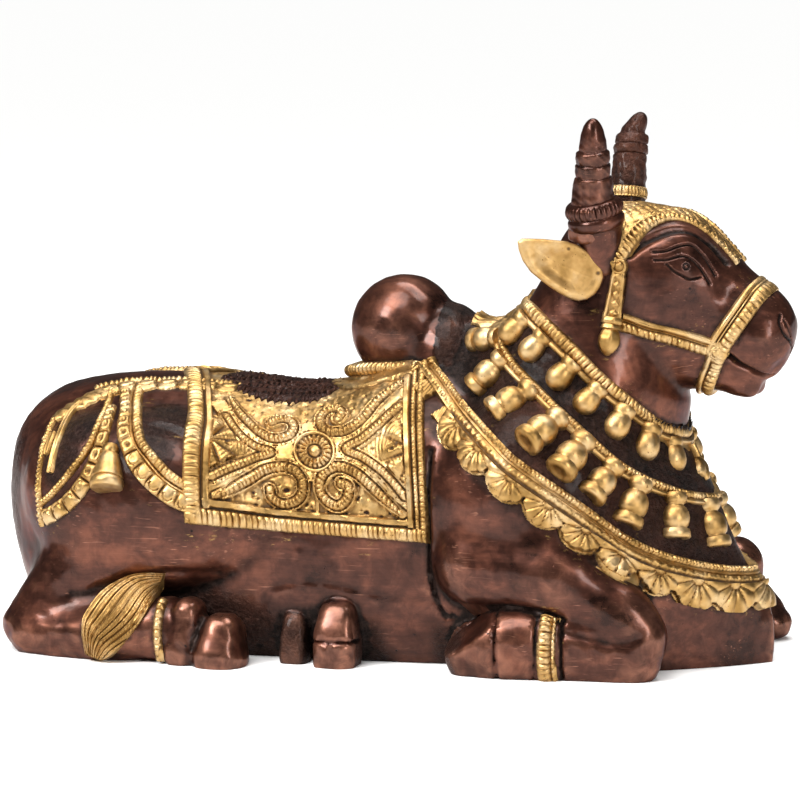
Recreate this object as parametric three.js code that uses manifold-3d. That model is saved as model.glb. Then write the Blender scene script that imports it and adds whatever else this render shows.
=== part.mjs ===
// A reclining temple bull, cast in brass in one piece, with its cloth, collars, bridle and bells
// raised on the body. Millimetres, +X towards the head, +Y to the bull's left, +Z up.
import * as THREE from "three";
import { LoftGeometry } from "three/addons/geometries/LoftGeometry.js";
import { mergeVertices } from "three/addons/utils/BufferGeometryUtils.js";
import Module from "manifold-3d";

const wasm = await Module();
wasm.setup();

// Driving sizes of the casting.
const figureLength = 320; // rump to muzzle
// Every form below is noted on a casting 320 long, as a share of the figure's length.
const share = figureLength / 320;

const radians = THREE.MathUtils.degToRad;
const v3 = (x, y, z) => new THREE.Vector3(x, y, z).multiplyScalar(share);

// A smooth pass through rows of numbers, at t from 0 to 1.
function between(rows, t) {
  const last = rows.length - 1;
  const at = Math.min(Math.max(t, 0), 1) * last;
  const i = Math.min(Math.floor(at), last - 1);
  const f = at - i;
  const row = (k) => rows[Math.min(Math.max(k, 0), last)];
  return rows[i].map((_, c) => {
    const [a, b, d, e] = [row(i - 1)[c], row(i)[c], row(i + 1)[c], row(i + 2)[c]];
    const slopeIn = (d - a) / 2;
    const slopeOut = (e - b) / 2;
    return (
      b * (1 + 2 * f) * (1 - f) ** 2 +
      slopeIn * f * (1 - f) ** 2 +
      d * f * f * (3 - 2 * f) -
      slopeOut * f * f * (1 - f)
    );
  });
}

// One cross-section: a rounded outline with its own width, rise above and fall below the centre.
function ring(centre, side, up, width, rise, fall, power, taper, count) {
  const points = [];
  for (let i = 0; i < count; i++) {
    const angle = (i / count) * 2 * Math.PI;
    const c = Math.cos(angle);
    const s = Math.sin(angle);
    const p = 2 / (Array.isArray(power) ? power[s > 0 ? 0 : 1] : power);
    const high = Math.sign(s) * Math.abs(s) ** p;
    const wide = Math.sign(c) * Math.abs(c) ** p * (1 + taper * high);
    points.push(
      centre
        .clone()
        .addScaledVector(side, wide * width * share)
        .addScaledVector(up, high * (high > 0 ? rise : fall) * share),
    );
  }
  return points;
}

// A closed mesh as a solid, turned to face outwards.
function solidOf(geometry) {
  const bare = new THREE.BufferGeometry();
  bare.setAttribute("position", geometry.getAttribute("position").clone());
  bare.setIndex(geometry.getIndex());
  const merged = mergeVertices(bare, 1e-3 * share);
  const index = merged.index.array;
  const whole = [];
  for (let i = 0; i < index.length; i += 3) {
    const [p, q, r] = [index[i], index[i + 1], index[i + 2]];
    if (p !== q && q !== r && r !== p) whole.push(p, q, r);
  }
  const triVerts = new Uint32Array(whole);
  const position = merged.attributes.position;
  const [a, b, c] = [new THREE.Vector3(), new THREE.Vector3(), new THREE.Vector3()];
  let volume = 0;
  for (let i = 0; i < triVerts.length; i += 3) {
    a.fromBufferAttribute(position, triVerts[i]);
    b.fromBufferAttribute(position, triVerts[i + 1]);
    c.fromBufferAttribute(position, triVerts[i + 2]);
    volume += a.dot(b.cross(c));
  }
  if (volume < 0)
    for (let i = 0; i < triVerts.length; i += 3)
      [triVerts[i + 1], triVerts[i + 2]] = [triVerts[i + 2], triVerts[i + 1]];
  return new wasm.Manifold(
    new wasm.Mesh({ numProp: 3, vertProperties: position.array, triVerts }),
  );
}

// Rings skinned one to the next, each end drawn in to its own middle.
function loft(rings) {
  const closing = (points) => {
    const middle = points.reduce((sum, p) => sum.add(p), new THREE.Vector3());
    middle.divideScalar(points.length);
    return points.map(() => middle.clone());
  };
  return solidOf(new LoftGeometry([closing(rings[0]), ...rings, closing(rings.at(-1))]));
}

const join = (...solids) => wasm.Manifold.union(solids.flat());

// A limb along a path. Each key is [x, y, z, half width, half height], and the ends are rounded
// through the shares of the full girth given.
function limb(keys, steps, sides, power = 2, endShares = [0.6]) {
  const path = (t) => v3(...between(keys, t).slice(0, 3));
  const rings = [];
  const frameAt = (t) => {
    const along = path(Math.min(t + 0.02, 1)).sub(path(Math.max(t - 0.02, 0))).normalize();
    const side = new THREE.Vector3(0, 1, 0).cross(along);
    if (side.length() < 0.5) side.set(1, 0, 0).cross(along);
    const up = side.normalize().clone();
    return { along, up, side: along.clone().cross(up).normalize() };
  };
  const place = (t, swell, push) => {
    const [, , , width, height] = between(keys, t);
    const { along, up, side } = frameAt(t);
    const centre = path(t).addScaledVector(along, push * Math.min(width, height) * share);
    rings.push(
      ring(centre, side, up, width * swell, height * swell, height * swell, power, 0, sides),
    );
  };
  for (const s of endShares) place(0, s, -Math.sqrt(1 - s * s));
  for (let i = 0; i <= steps; i++) place(i / steps, 1, 0);
  for (const s of [...endShares].reverse()) place(1, s, Math.sqrt(1 - s * s));
  return loft(rings);
}

// An egg-shaped mass, turned about the upright and then about the crosswise axis, in degrees.
function mass(at, radii, turn = 0, pitch = 0, sides = 16) {
  const egg = new THREE.SphereGeometry(1, sides, Math.round(sides * 0.6));
  egg.rotateX(Math.PI / 2);
  egg.scale(...radii.map((r) => r * share));
  egg.rotateY(radians(pitch));
  egg.rotateZ(radians(turn));
  egg.translate(...at.map((n) => n * share));
  return solidOf(egg);
}

const across = new THREE.Vector3(0, 1, 0);
const upright = new THREE.Vector3(0, 0, 1);
const forward = new THREE.Vector3(1, 0, 0);

function torso() {
  // [x, height of the widest part, half width, top, foot, squareness of the lower half]
  const keys = [
    [-159, 60, 8, 72, 46, 2],
    [-156, 58, 22, 82, 26, 2],
    [-148, 54, 38, 92, 6, 2.1],
    [-134, 48, 50, 99.5, -14, 2.5],
    [-116, 46, 55, 103.5, -14, 2.8],
    [-96, 45, 57, 104.5, -14, 2.9],
    [-68, 44, 57, 103, -14, 2.9],
    [-42, 44, 56, 100.5, -14, 2.9],
    [-15, 46, 55, 103, -14, 2.9],
    [12, 48, 54, 112, -14, 2.9],
    [46, 50, 50, 112, -14, 2.9],
  ];
  const rings = [];
  const steps = 10;
  for (let i = 0; i <= steps; i++) {
    const [x, wide, width, top, foot, square] = between(keys, i / steps);
    const at = v3(x, 0, wide);
    rings.push(ring(at, across, upright, width, top - wide, wide - foot, [2.5, square], 0, 16));
  }
  return loft(rings);
}

function neckAndChest() {
  // [height, widest x, front, back, half width, sharpness of the front]
  const keys = [
    [-6, 84, 151, 20, 44, 1.2],
    [14, 86, 151.5, 20, 50, 1.2],
    [28, 86, 147, 20, 53, 1.35],
    [44, 84, 137.5, 18, 54, 1.5],
    [60, 82, 130, 16, 52, 1.65],
    [76, 80, 123, 16, 48, 1.85],
    [92, 79, 117.5, 18, 43, 2],
    [108, 79, 114, 24, 38, 2],
    [122, 80, 113, 32, 34, 2],
    [136, 82, 112, 47, 31, 2],
    [150, 84, 110, 59, 28, 2],
    [161, 86, 102, 68, 21, 2],
  ];
  const rings = [];
  const steps = 7;
  for (let i = 0; i <= steps; i++) {
    const [z, wide, front, back, width, sharp] = between(keys, i / steps);
    const at = v3(wide, 0, z);
    rings.push(ring(at, across, forward, width, front - wide, wide - back, [sharp, 2.2], 0, 14));
  }
  return loft(rings);
}

// The head's own axis, from the poll down to the muzzle.
const poll = [80, 148];
const headPitch = radians(20);
const headAlong = new THREE.Vector3(Math.cos(headPitch), 0, -Math.sin(headPitch));
const headUp = new THREE.Vector3(Math.sin(headPitch), 0, Math.cos(headPitch));

function skull() {
  // [along, top, jaw, half width, taper]
  const keys = [
    [-16, 14, 20, 16, 0],
    [-8, 22, 30, 24, 0.05],
    [6, 28, 37, 27, 0.1],
    [20, 35, 37.5, 27.5, 0.12],
    [32, 34.5, 35, 26, 0.14],
    [45, 29, 30, 21, 0.08],
    [55, 23.5, 23, 17.5, 0],
    [66, 20.5, 17.5, 15.5, -0.05],
    [74, 17.5, 15, 14, -0.05],
    [79.5, 11, 11, 10, 0],
    [81.5, 4, 5, 5, 0],
  ];
  const rings = [];
  const steps = 9;
  for (let i = 0; i <= steps; i++) {
    const [along, top, jaw, width, taper] = between(keys, i / steps);
    const centre = v3(poll[0], 0, poll[1]).addScaledVector(headAlong, along * share);
    rings.push(ring(centre, across, headUp, width, top, jaw, [2.2, 2.3], taper, 12));
  }
  return loft(rings);
}

function lowerJaw() {
  const keys = [
    [112, 0, 113, 15, 8],
    [126, 0, 111, 13, 7],
    [139, 0, 109.5, 10.5, 5.5],
  ];
  return limb(keys, 1, 8);
}

// One horn, turned on its own axis, with a tilted rosette collar round its root.
function horn(side) {
  const turn = (profile, sides, tilt) => {
    const outline = profile.map(([r, h]) => new THREE.Vector2(r * share, h * share));
    const turned = new THREE.LatheGeometry(outline, sides);
    turned.rotateX(Math.PI / 2);
    turned.rotateY(radians(tilt));
    turned.rotateX(side * radians(-11));
    turned.translate(84.5 * share, side * 25 * share, 163 * share);
    return solidOf(turned);
  };
  const shaft = [
    [0, 0], [8.4, 0], [7.4, 23], [8.1, 24], [7.4, 34.6], [5.9, 35.2], [4.4, 41], [2.4, 45.6],
    [0, 47.4],
  ];
  const collar = [[0, -4], [10.4, -3], [11.4, 4], [10, 11], [0, 12.6]];
  return join(turn(shaft, 7, 0), turn(collar, 8, -16));
}

// A leaf-shaped ear, its hollow side facing out.
function ear(side) {
  const lobe = new THREE.SphereGeometry(1, 8, 5);
  const position = lobe.attributes.position;
  for (let i = 0; i < position.count; i++) {
    const back = Math.max(0, -position.getX(i));
    position.setZ(i, position.getZ(i) * (1 - 0.45 * back ** 2) + 0.35 * back ** 2);
  }
  lobe.scale(20.5 * share, 3 * share, 12.5 * share);
  lobe.rotateY(radians(14));
  lobe.rotateZ(radians(side * -24));
  lobe.translate(73.5 * share, side * 35 * share, 151 * share);
  return solidOf(lobe);
}

function foreleg(side, reach) {
  const y = (n) => side * n;
  const forearm = [
    [46 + reach * 0.3, y(46), 42, 18, 19],
    [74 + reach * 0.7, y(50), 37, 15, 18],
    [98 + reach, y(50), 25, 13, 14],
    [108 + reach, y(50), 14, 11, 13],
  ];
  const cannon = [
    [46 + reach, y(56), 8, 11, 12],
    [60 + reach, y(57), 11, 13, 14],
    [80 + reach, y(55), 11, 11, 14],
    [106 + reach, y(50), 8, 12, 13],
  ];
  return [
    mass([62 + reach * 0.4, y(38), 62], [37, 25, 42], side * -4, 16, 10),
    limb(forearm, 3, 7),
    limb(cannon, 2, 8, 2.4),
  ];
}

// One standing lobe of a cloven hoof, from its sole up to its rounded top.
function hoof(sole, top, width, length) {
  const keys = [
    [...sole, width, length],
    [...top, width * 0.85, length * 0.75],
  ];
  return limb(keys, 1, 6, 2.6, [0.7]);
}

function hindleg(side) {
  const y = (n) => side * n;
  const gaskin = [
    [-96, y(46), 44, 22, 24],
    [-118, y(51), 28, 18, 18],
    [-131, y(55), 12, 14, 13],
  ];
  const cannon = [
    [-130, y(58), 8, 13, 11],
    [-104, y(63), 9, 13, 13],
    [-84, y(65), 12, 12, 12],
    [-72, y(65), 12, 11, 13],
  ];
  return [
    mass([-88, y(45), 58], [54, 27, 36], side * 2, 6, 11),
    limb(gaskin, 2, 7),
    limb(cannon, 2, 7),
    hoof([-65, y(68), 4], [-63, y(66), 18], 9, 7),
    hoof([-52, y(69), 3], [-50, y(67), 11], 11, 9),
  ];
}

function body() {
  const tail = [
    [-136, 0, 96, 7, 5],
    [-153, 0, 85, 6, 5],
    [-160, -1, 61, 6, 5],
    [-155, -3, 34, 5.5, 5],
    [-148, -8, 12, 5, 5],
  ];
  return join(
    torso(),
    neckAndChest(),
    skull(),
    lowerJaw(),
    mass([2, 0, 124.5], [20.5, 20, 20.5], 0, 0, 12),
    mass([24, 0, 113], [24, 21, 21], 0, 20, 8),
    horn(1),
    horn(-1),
    ear(1),
    ear(-1),
    foreleg(-1, 0),
    foreleg(1, 26),
    hindleg(-1),
    hindleg(1),
    hoof([-5, -56, 4], [-5, -53, 16], 8, 9),
    hoof([-24, -52, 4], [-24, -51, 15], 7, 5),
    limb(tail, 4, 5),
  );
}

function geometryOf(solid) {
  const mesh = solid.getMesh();
  const stride = mesh.numProp;
  const points = new Float32Array(mesh.numVert * 3);
  for (let i = 0; i < mesh.numVert; i++)
    points.set(mesh.vertProperties.subarray(i * stride, i * stride + 3), i * 3);
  return new THREE.BufferGeometry()
    .setAttribute("position", new THREE.BufferAttribute(points, 3))
    .setIndex(new THREE.BufferAttribute(new Uint32Array(mesh.triVerts), 1));
}

// The plain body, whose skin the trappings are laid on.
const plainBody = body();
const skin = new THREE.Mesh(geometryOf(plainBody), new THREE.MeshBasicMaterial());
skin.material.side = THREE.DoubleSide;
const probe = new THREE.Raycaster();

// Where a line from inside the body comes out through the skin, no further off than the reach,
// with the way the skin faces there.
function onSkin(origin, away, reach = 200) {
  probe.set(origin, away.normalize());
  const { point, face, distance } = probe.intersectObject(skin)[0];
  if (distance > reach * share) point.copy(origin).addScaledVector(away, reach * share);
  const facing = face.normal.clone();
  if (facing.dot(away) < 0) facing.negate();
  return { point, facing, away };
}

// Round the neck: 0 degrees is the front, positive to the left. Heights run from front to back.
function roundNeck(heights, angle, higher = 0) {
  const [z] = between(heights.map((h) => [h]), Math.abs(angle) / 180);
  const away = new THREE.Vector3(Math.cos(radians(angle)), Math.sin(radians(angle)), 0);
  return onSkin(v3(75, 0, z + higher), away, angle > 140 || angle < -140 ? 54 : 90);
}

// Over the barrel at a distance along it: 0 degrees is straight out to one side, 90 is up.
function overBarrel(x, angle, side = -1) {
  const away = new THREE.Vector3(0, side * Math.cos(radians(angle)), Math.sin(radians(angle)));
  return onSkin(v3(x, 0, 45), away, angle > 60 && angle < 120 && x > -22 ? 64 : 90);
}

// Round the head at a distance from the poll, angles as on the barrel.
function roundHead(along, angle, side) {
  const axis = v3(poll[0], 0, poll[1]).addScaledVector(headAlong, along * share);
  const away = headUp.clone().multiplyScalar(Math.sin(radians(angle)));
  away.addScaledVector(across, side * Math.cos(radians(angle)));
  return onSkin(axis, away);
}

// A dressing over the body: rows of spots on the skin, each lifted off it or sunk under it.
function dressing(rows) {
  return loft(
    rows.map((spots) =>
      spots.map(({ point, away, lift }) => point.clone().addScaledVector(away, lift * share)),
    ),
  );
}

// A strap raised on the skin through the spots given: flat on top when broad, ridged when thin.
function strap(spots, width, height) {
  const spot = (i) => spots[Math.min(Math.max(i, 0), spots.length - 1)];
  const rings = spots.map(({ point }, i) => {
    const along = spot(i + 1).point.clone().sub(spot(i - 1).point).normalize();
    const out = spot(i - 1).facing.clone().add(spot(i).facing).add(spot(i + 1).facing);
    out.addScaledVector(along, -out.dot(along)).normalize();
    const beside = along.cross(out);
    const corner = (w, h) =>
      point.clone().addScaledVector(beside, w * width * share).addScaledVector(out, h * share);
    if (width < 5.2) return [corner(-0.6, -1.5), corner(0.6, -1.5), corner(0, height)];
    return [corner(-0.5, -2), corner(0.5, -2), corner(0.4, height), corner(-0.4, height)];
  });
  return loft(rings);
}

// A smooth run of spots through a few keys, laid by the placing function given.
function run(keys, steps, place) {
  return Array.from({ length: steps + 1 }, (_, i) => place(...between(keys, i / steps)));
}

// A turned bell or bud lying on the skin, hanging the way given. Profile rows are [radius, drop].
function hanging({ point, facing }, down, profile, sides, rise) {
  const axis = down.clone().addScaledVector(facing, -down.dot(facing)).normalize();
  const outline = profile.map(([r, d]) => new THREE.Vector2(r * share, -d * share));
  const turned = new THREE.LatheGeometry(outline.reverse(), sides);
  const basis = new THREE.Matrix4().makeBasis(
    axis.clone().negate().cross(facing),
    axis.clone().negate(),
    facing,
  );
  turned.applyMatrix4(basis);
  turned.translate(...point.clone().addScaledVector(facing, rise * share).toArray());
  return solidOf(turned);
}

// A flower or boss, a low dome facing out from the skin, scalloped when petals are asked for.
function boss({ point, facing }, radius, height, sides, petals = false) {
  const outline = [[0, -1.5], [1, height * 0.2], [0, height]];
  const dome = new THREE.LatheGeometry(
    outline.map(([r, h]) => new THREE.Vector2(r * radius * share, h * share)),
    sides,
  );
  if (petals) {
    const position = dome.attributes.position;
    for (let i = 0; i < position.count; i++) {
      const turn = Math.round((Math.atan2(position.getX(i), position.getZ(i)) / Math.PI) * sides / 2);
      const inset = turn % 2 ? 0.78 : 1;
      position.setX(i, position.getX(i) * inset);
      position.setZ(i, position.getZ(i) * inset);
    }
  }
  dome.applyQuaternion(new THREE.Quaternion().setFromUnitVectors(across, facing));
  dome.translate(...point.toArray());
  return solidOf(dome);
}

// Heights of the collars and the garland at every 30 degrees from the chest round to the nape.
const upperCollar = [87, 91.5, 104, 122, 133, 136, 136];
const lowerCollar = [62.5, 67, 77.5, 98, 113, 126, 129];
const garland = [34, 39.5, 50, 71, 91, 107, 112];

const roundBell = [[0, -1], [4.8, 5], [4.8, 9], [0, 12]];
const turnedBell = [[0, -2], [3.2, 3], [5, 12.4], [0, 12.4]];

// The neck dressed from the garland up to the upper collar, the three bands standing proud.
function collars() {
  const mid = (low, high) => low.map((h, i) => (h + high[i]) / 2);
  const ground = 2;
  const proud = 3.6;
  const rows = [
    [garland, -3.4, -3],
    [garland, -3, proud],
    [garland, 3, proud],
    [garland, 3.6, ground],
    [lowerCollar, -3, ground],
    [lowerCollar, -2.6, proud],
    [lowerCollar, 2.6, proud],
    [lowerCollar, 3.2, ground],
    [mid(lowerCollar, upperCollar), 0, ground],
    [upperCollar, -4.2, ground],
    [upperCollar, -3.8, proud],
    [upperCollar, 3.8, proud],
    [upperCollar, 4.2, -3],
  ];
  const count = 16;
  return dressing(
    rows.map(([heights, higher, lift]) =>
      Array.from({ length: count }, (_, i) => ({
        ...roundNeck(heights, (360 / count) * (i + 0.5) - 180, higher),
        lift,
      })),
    ),
  );
}

function bellsAndFlowers() {
  const bells = (heights, angles, profile) =>
    angles.flatMap((angle) =>
      [-angle, angle].map((at) => {
        const spot = roundNeck(heights, at, -2);
        const line = roundNeck(heights, at + 3).point.sub(roundNeck(heights, at - 3).point);
        const down = spot.facing.clone().cross(line);
        if (down.z > 0) down.negate();
        return hanging(spot, down.normalize(), profile, 4, 2.8);
      }),
    );
  const flowers = [16, 33, 52, 71, 90, 108, 127].flatMap((angle) => [-angle, angle]);
  return [
    ...bells(upperCollar, [22, 41, 60, 78, 97, 117, 138], roundBell),
    ...bells(lowerCollar, [11, 31, 50, 67, 84, 101, 120, 142], turnedBell),
    ...[0, ...flowers].map((angle) => boss(roundNeck(garland, angle, -8.5), 7, 4, 8, true)),
  ];
}

// The cloth over the back, its hem standing proud of the panel on each side.
function cloth() {
  const [rear, front, low] = [-64, 26, 5];
  const [sunk, hem, panel] = [-3, 3.4, 1.9];
  const columns = [
    [rear - 0.3, sunk],
    [rear, hem],
    [rear + 7, hem],
    [rear + 7.5, panel],
    [-36, panel],
    [-10, panel],
    [front - 7.5, panel],
    [front - 7, hem],
    [front, hem],
    [front + 0.3, sunk],
  ];
  const half = [
    [low, sunk],
    [low + 0.3, hem],
    [low + 7, hem],
    [low + 7.6, panel],
    [30, panel],
    [50, panel],
    [70, panel],
  ];
  const over = half.map(([angle, lift]) => [180 - angle, lift]).reverse();
  const rows = columns.map(([x, high]) =>
    [...half, [90, panel], ...over].map(([angle, lift]) => ({
      ...overBarrel(x, angle),
      lift: high === sunk || lift === sunk ? sunk : Math.max(high, lift),
    })),
  );
  const rosettes = [-1, 1].map((side) => boss(overBarrel(-20, 38, side), 8, 4, 10));
  return [dressing(rows), ...rosettes];
}

// The trappings of the rump: a band below the spine, two hanging swags, a bell and a tassel.
function rumpHarness(side) {
  const place = (x, angle) => overBarrel(x, angle, side);
  const band = run([[-64, 78], [-98, 72], [-122, 61], [-135, 46], [-136, 22], [-128, 8]], 7, place);
  const frontSwag = run([[-98, 66], [-92, 44], [-80, 27], [-62, 17]], 4, place);
  const rearSwag = run([[-108, 62], [-107, 38], [-115, 20], [-130, 9]], 4, place);
  return [
    strap(band, 5, 1.8),
    strap(frontSwag, 4, 1.8),
    strap(rearSwag, 4, 1.8),
    hanging(place(-99, 33), upright.clone().negate(), [[0, -1], [3, -1], [5.6, 12], [0, 13]], 6, 1),
    strap(run([[-124, 52], [-126, 28]], 2, place), 3, 1.8),
  ];
}

// The bridle, with the brow and the eye it frames.
function bridle(side) {
  const place = (along, angle) => roundHead(along, angle, side);
  const brow = [[5, 24], [11, 45], [18, 68], [27, 74], [38, 74], [51, 80]];
  const cheek = [[17, -19], [36, -22], [55, -27]];
  const nose = [[64, 90], [63, 70], [60.5, 40], [59, 2], [56, -28], [56, -58], [55, -90]];
  const temple = [[8, 22], [13, 8], [17, -20]];
  const bud = [[0, -1], [3.4, 4], [2.8, 8], [0, 10]];
  return [
    strap(run(brow, 6, place), 4, 1.8),
    strap(run(cheek, 3, place), 4, 1.6),
    strap(run(nose, 7, place), 4.4, 1.6),
    strap(run(temple, 2, place), 4.4, 1.8),
    boss(place(12, 18), 3.4, 2.4, 6),
    boss(place(35, 38), 3.6, 1.6, 6),
    strap(run([[23, 34], [29, 52], [39, 54], [46, 42]], 4, place), 2.4, 1.3),
    hanging(place(17, -21), new THREE.Vector3(-0.1, 0, -1), bud, 5, 1),
  ];
}

// A beaded ring across the outer face of each shin.
function anklets() {
  const cuff = (x, y, z, side) => {
    const spots = [-35, 5, 42].map((angle) => {
      const away = new THREE.Vector3(0, side * Math.cos(radians(angle)), Math.sin(radians(angle)));
      return onSkin(v3(x, y, z), away);
    });
    return strap(spots, 4.6, 1.8);
  };
  return [-1, 1].flatMap((side) => [
    cuff(77 + (side > 0 ? 26 : 0), side * 55, 11, side),
    cuff(-77, side * 65, 12, side),
  ]);
}

// The underside cut flat to stand on.
function cutFlat(solid) {
  const under = new THREE.BoxGeometry(500 * share, 300 * share, 60 * share);
  under.translate(0, 0, -30 * share);
  return solid.subtract(solidOf(under));
}

const bronze = new THREE.MeshStandardMaterial({ color: 0x4a2a20, roughness: 0.35, metalness: 0.9 });
const solid = join(
  plainBody,
  collars(),
  bellsAndFlowers(),
  cloth(),
  rumpHarness(-1),
  rumpHarness(1),
  bridle(-1),
  bridle(1),
  anklets(),
);
const geometry = geometryOf(cutFlat(solid));
geometry.computeBoundingBox();
const middle = geometry.boundingBox.getCenter(new THREE.Vector3());
geometry.translate(-middle.x, -middle.y, 0);
const casting = new THREE.Mesh(geometry, bronze);
casting.name = "nandi_bull";

const figure = new THREE.Group();
figure.add(casting);
export default figure;
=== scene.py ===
# A reclining temple bull cast in brass in one piece: brown lacquered body, trappings polished bright.
import math
from functools import partial
import bpy
import numpy as np
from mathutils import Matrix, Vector
from mathutils.bvhtree import BVHTree
from mathutils.kdtree import KDTree


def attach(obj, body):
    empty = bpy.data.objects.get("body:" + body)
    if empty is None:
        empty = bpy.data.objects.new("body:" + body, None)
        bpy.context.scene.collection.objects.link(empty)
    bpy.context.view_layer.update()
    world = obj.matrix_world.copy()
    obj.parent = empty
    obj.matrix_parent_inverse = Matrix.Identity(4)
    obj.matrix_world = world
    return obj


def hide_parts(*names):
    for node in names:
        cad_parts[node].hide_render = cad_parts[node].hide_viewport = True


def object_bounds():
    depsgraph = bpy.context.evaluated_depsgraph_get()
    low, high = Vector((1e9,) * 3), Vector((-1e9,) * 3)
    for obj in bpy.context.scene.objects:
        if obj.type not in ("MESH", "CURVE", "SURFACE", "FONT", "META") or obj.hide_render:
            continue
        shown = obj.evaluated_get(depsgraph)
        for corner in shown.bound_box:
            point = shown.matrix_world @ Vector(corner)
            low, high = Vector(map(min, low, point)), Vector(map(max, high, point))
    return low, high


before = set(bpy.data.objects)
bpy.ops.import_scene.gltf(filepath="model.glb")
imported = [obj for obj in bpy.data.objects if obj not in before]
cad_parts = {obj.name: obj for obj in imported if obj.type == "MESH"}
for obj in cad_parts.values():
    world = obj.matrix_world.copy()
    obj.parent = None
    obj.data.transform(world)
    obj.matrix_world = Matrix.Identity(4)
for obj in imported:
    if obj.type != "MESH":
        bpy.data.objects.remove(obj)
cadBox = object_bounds()
bpy.ops.object.select_all(action="DESELECT")

millimetre = 0.001
# The notes below are in millimetres, and count x from the middle of the barrel.
notesToFrame = np.array([3.222, 0, 0])
across, upright, forward = np.eye(3)[[1, 2, 0]]


def toFrame(points):
    return (np.asarray(points, float) + notesToFrame) * millimetre


def toNotes(points):
    return np.asarray(points, float) / millimetre - notesToFrame


def smoothStep(low, high, x):
    t = np.clip((x - low) / (high - low), 0, 1)
    return t * t * (3 - 2 * t)


def unit(vectors):
    return vectors / np.maximum(np.linalg.norm(vectors, axis=-1, keepdims=True), 1e-9)


def rotation(axis, degrees):
    c, s = math.cos(math.radians(degrees)), math.sin(math.radians(degrees))
    return np.array({"X": [[1, 0, 0], [0, c, -s], [0, s, c]], "Y": [[c, 0, s], [0, 1, 0], [-s, 0, c]],
                     "Z": [[c, -s, 0], [s, c, 0], [0, 0, 1]]}[axis])


def travelledAlong(points):
    # the way covered on reaching each point of a line
    return np.append(0, np.cumsum(np.linalg.norm(np.diff(points, axis=0), axis=1)))


def lanesAcross(high, step=0.38, low=None):
    # distances to one side at which a strip is laid, the same both ways unless a low one is given
    return np.arange(-high if low is None else low, high + step / 2, step)


def between(rows, t):
    # a smooth pass through rows of numbers, at t from 0 to 1
    rows = np.asarray(rows, float)
    last = len(rows) - 1
    at = np.clip(np.atleast_1d(t), 0, 1) * last
    i = np.minimum(at.astype(int), last - 1)
    f = (at - i)[:, None]
    a, b, d, e = (rows[np.clip(i + k, 0, last)] for k in (-1, 0, 1, 2))
    slopeIn, slopeOut = (d - a) / 2, (e - b) / 2
    return (b * (1 + 2 * f) * (1 - f) ** 2 + slopeIn * f * (1 - f) ** 2
            + d * f * f * (3 - 2 * f) - slopeOut * f * f * (1 - f))


def read(rows, name, width, kind=np.float32):
    flat = np.empty(len(rows) * width, kind)
    rows.foreach_get(name, flat)
    return flat.reshape(-1, width)


def coordinates(piece):
    return read(piece.data.vertices, "co", 3).astype(float)


def faceCount(piece):
    return len(piece.data.polygons)


def setCoordinates(piece, points):
    piece.data.vertices.foreach_set("co", np.asarray(points, np.float32).ravel())
    piece.data.update()


def facing(piece):
    return read(piece.data.vertices, "normal", 3).astype(float)


def only(piece):
    bpy.ops.object.select_all(action="DESELECT")
    piece.select_set(True)
    bpy.context.view_layer.objects.active = piece


def joined(pieces, name):
    bpy.ops.object.select_all(action="DESELECT")
    for piece in pieces:
        piece.select_set(True)
    bpy.context.view_layer.objects.active = pieces[0]
    if len(pieces) > 1:
        bpy.ops.object.join()
    pieces[0].name = pieces[0].data.name = name
    return pieces[0]


def closed(piece):
    # seams and poles merged, faces turned outwards
    only(piece)
    bpy.ops.object.mode_set(mode="EDIT")
    bpy.ops.mesh.select_all(action="SELECT")
    bpy.ops.mesh.remove_doubles(threshold=2e-6)
    bpy.ops.mesh.normals_make_consistent(inside=False)
    bpy.ops.object.mode_set(mode="OBJECT")
    return piece


def skinned(points, name="form"):
    # a grid primitive rolled and shaped through rows of points
    rows, columns = points.shape[:2]
    bpy.ops.mesh.primitive_grid_add(x_subdivisions=columns - 1, y_subdivisions=rows - 1, calc_uvs=False)
    piece = bpy.context.object
    piece.name = piece.data.name = name
    setCoordinates(piece, toFrame(points.reshape(-1, 3)))
    return closed(piece)


# The body's forms are sections skinned one to the next.

def section(centre, side, up, width, rise, fall, powers, taper, sides):
    angle = np.linspace(0, 2 * math.pi, sides + 1)
    c, s = np.cos(angle), np.sin(angle)
    p = np.where(s > 0, 2 / powers[0], 2 / powers[1])
    high = np.sign(s) * np.abs(s) ** p
    wide = np.sign(c) * np.abs(c) ** p * (1 + taper * high)
    reach = np.where(high > 0, rise, fall) * high
    return centre + side * (wide * width)[:, None] + up * reach[:, None]


def withPoles(rings):
    tip = lambda ring: np.repeat(ring[:-1].mean(axis=0)[None], len(ring), axis=0)
    return np.array([tip(rings[0]), *rings, tip(rings[-1])])


def limb(keys, power=2, ends=(0.25, 0.5, 0.7, 0.85, 0.95), steps=14, sides=40):
    # keys are [x, y, z, half width, half height]; both ends are rounded
    path = lambda t: between(keys, t)[0]
    rings = []

    def place(t, swell, push):
        _, _, _, width, height = path(t)
        along = unit(path(min(t + 0.02, 1))[:3] - path(max(t - 0.02, 0))[:3])
        flat = np.cross(across, along)
        if np.linalg.norm(flat) < 0.5:
            flat = np.cross(forward, along)
        up = unit(flat)
        side = np.cross(along, up)
        centre = path(t)[:3] + along * push * min(width, height)
        rings.append(section(centre, side, up, width * swell, height * swell, height * swell,
                             (power, power), 0, sides))

    for share in ends:
        place(0, share, -math.sqrt(1 - share ** 2))
    for t in np.linspace(0, 1, steps):
        place(t, 1, 0)
    for share in ends[::-1]:
        place(1, share, math.sqrt(1 - share ** 2))
    return withPoles(rings)


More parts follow.
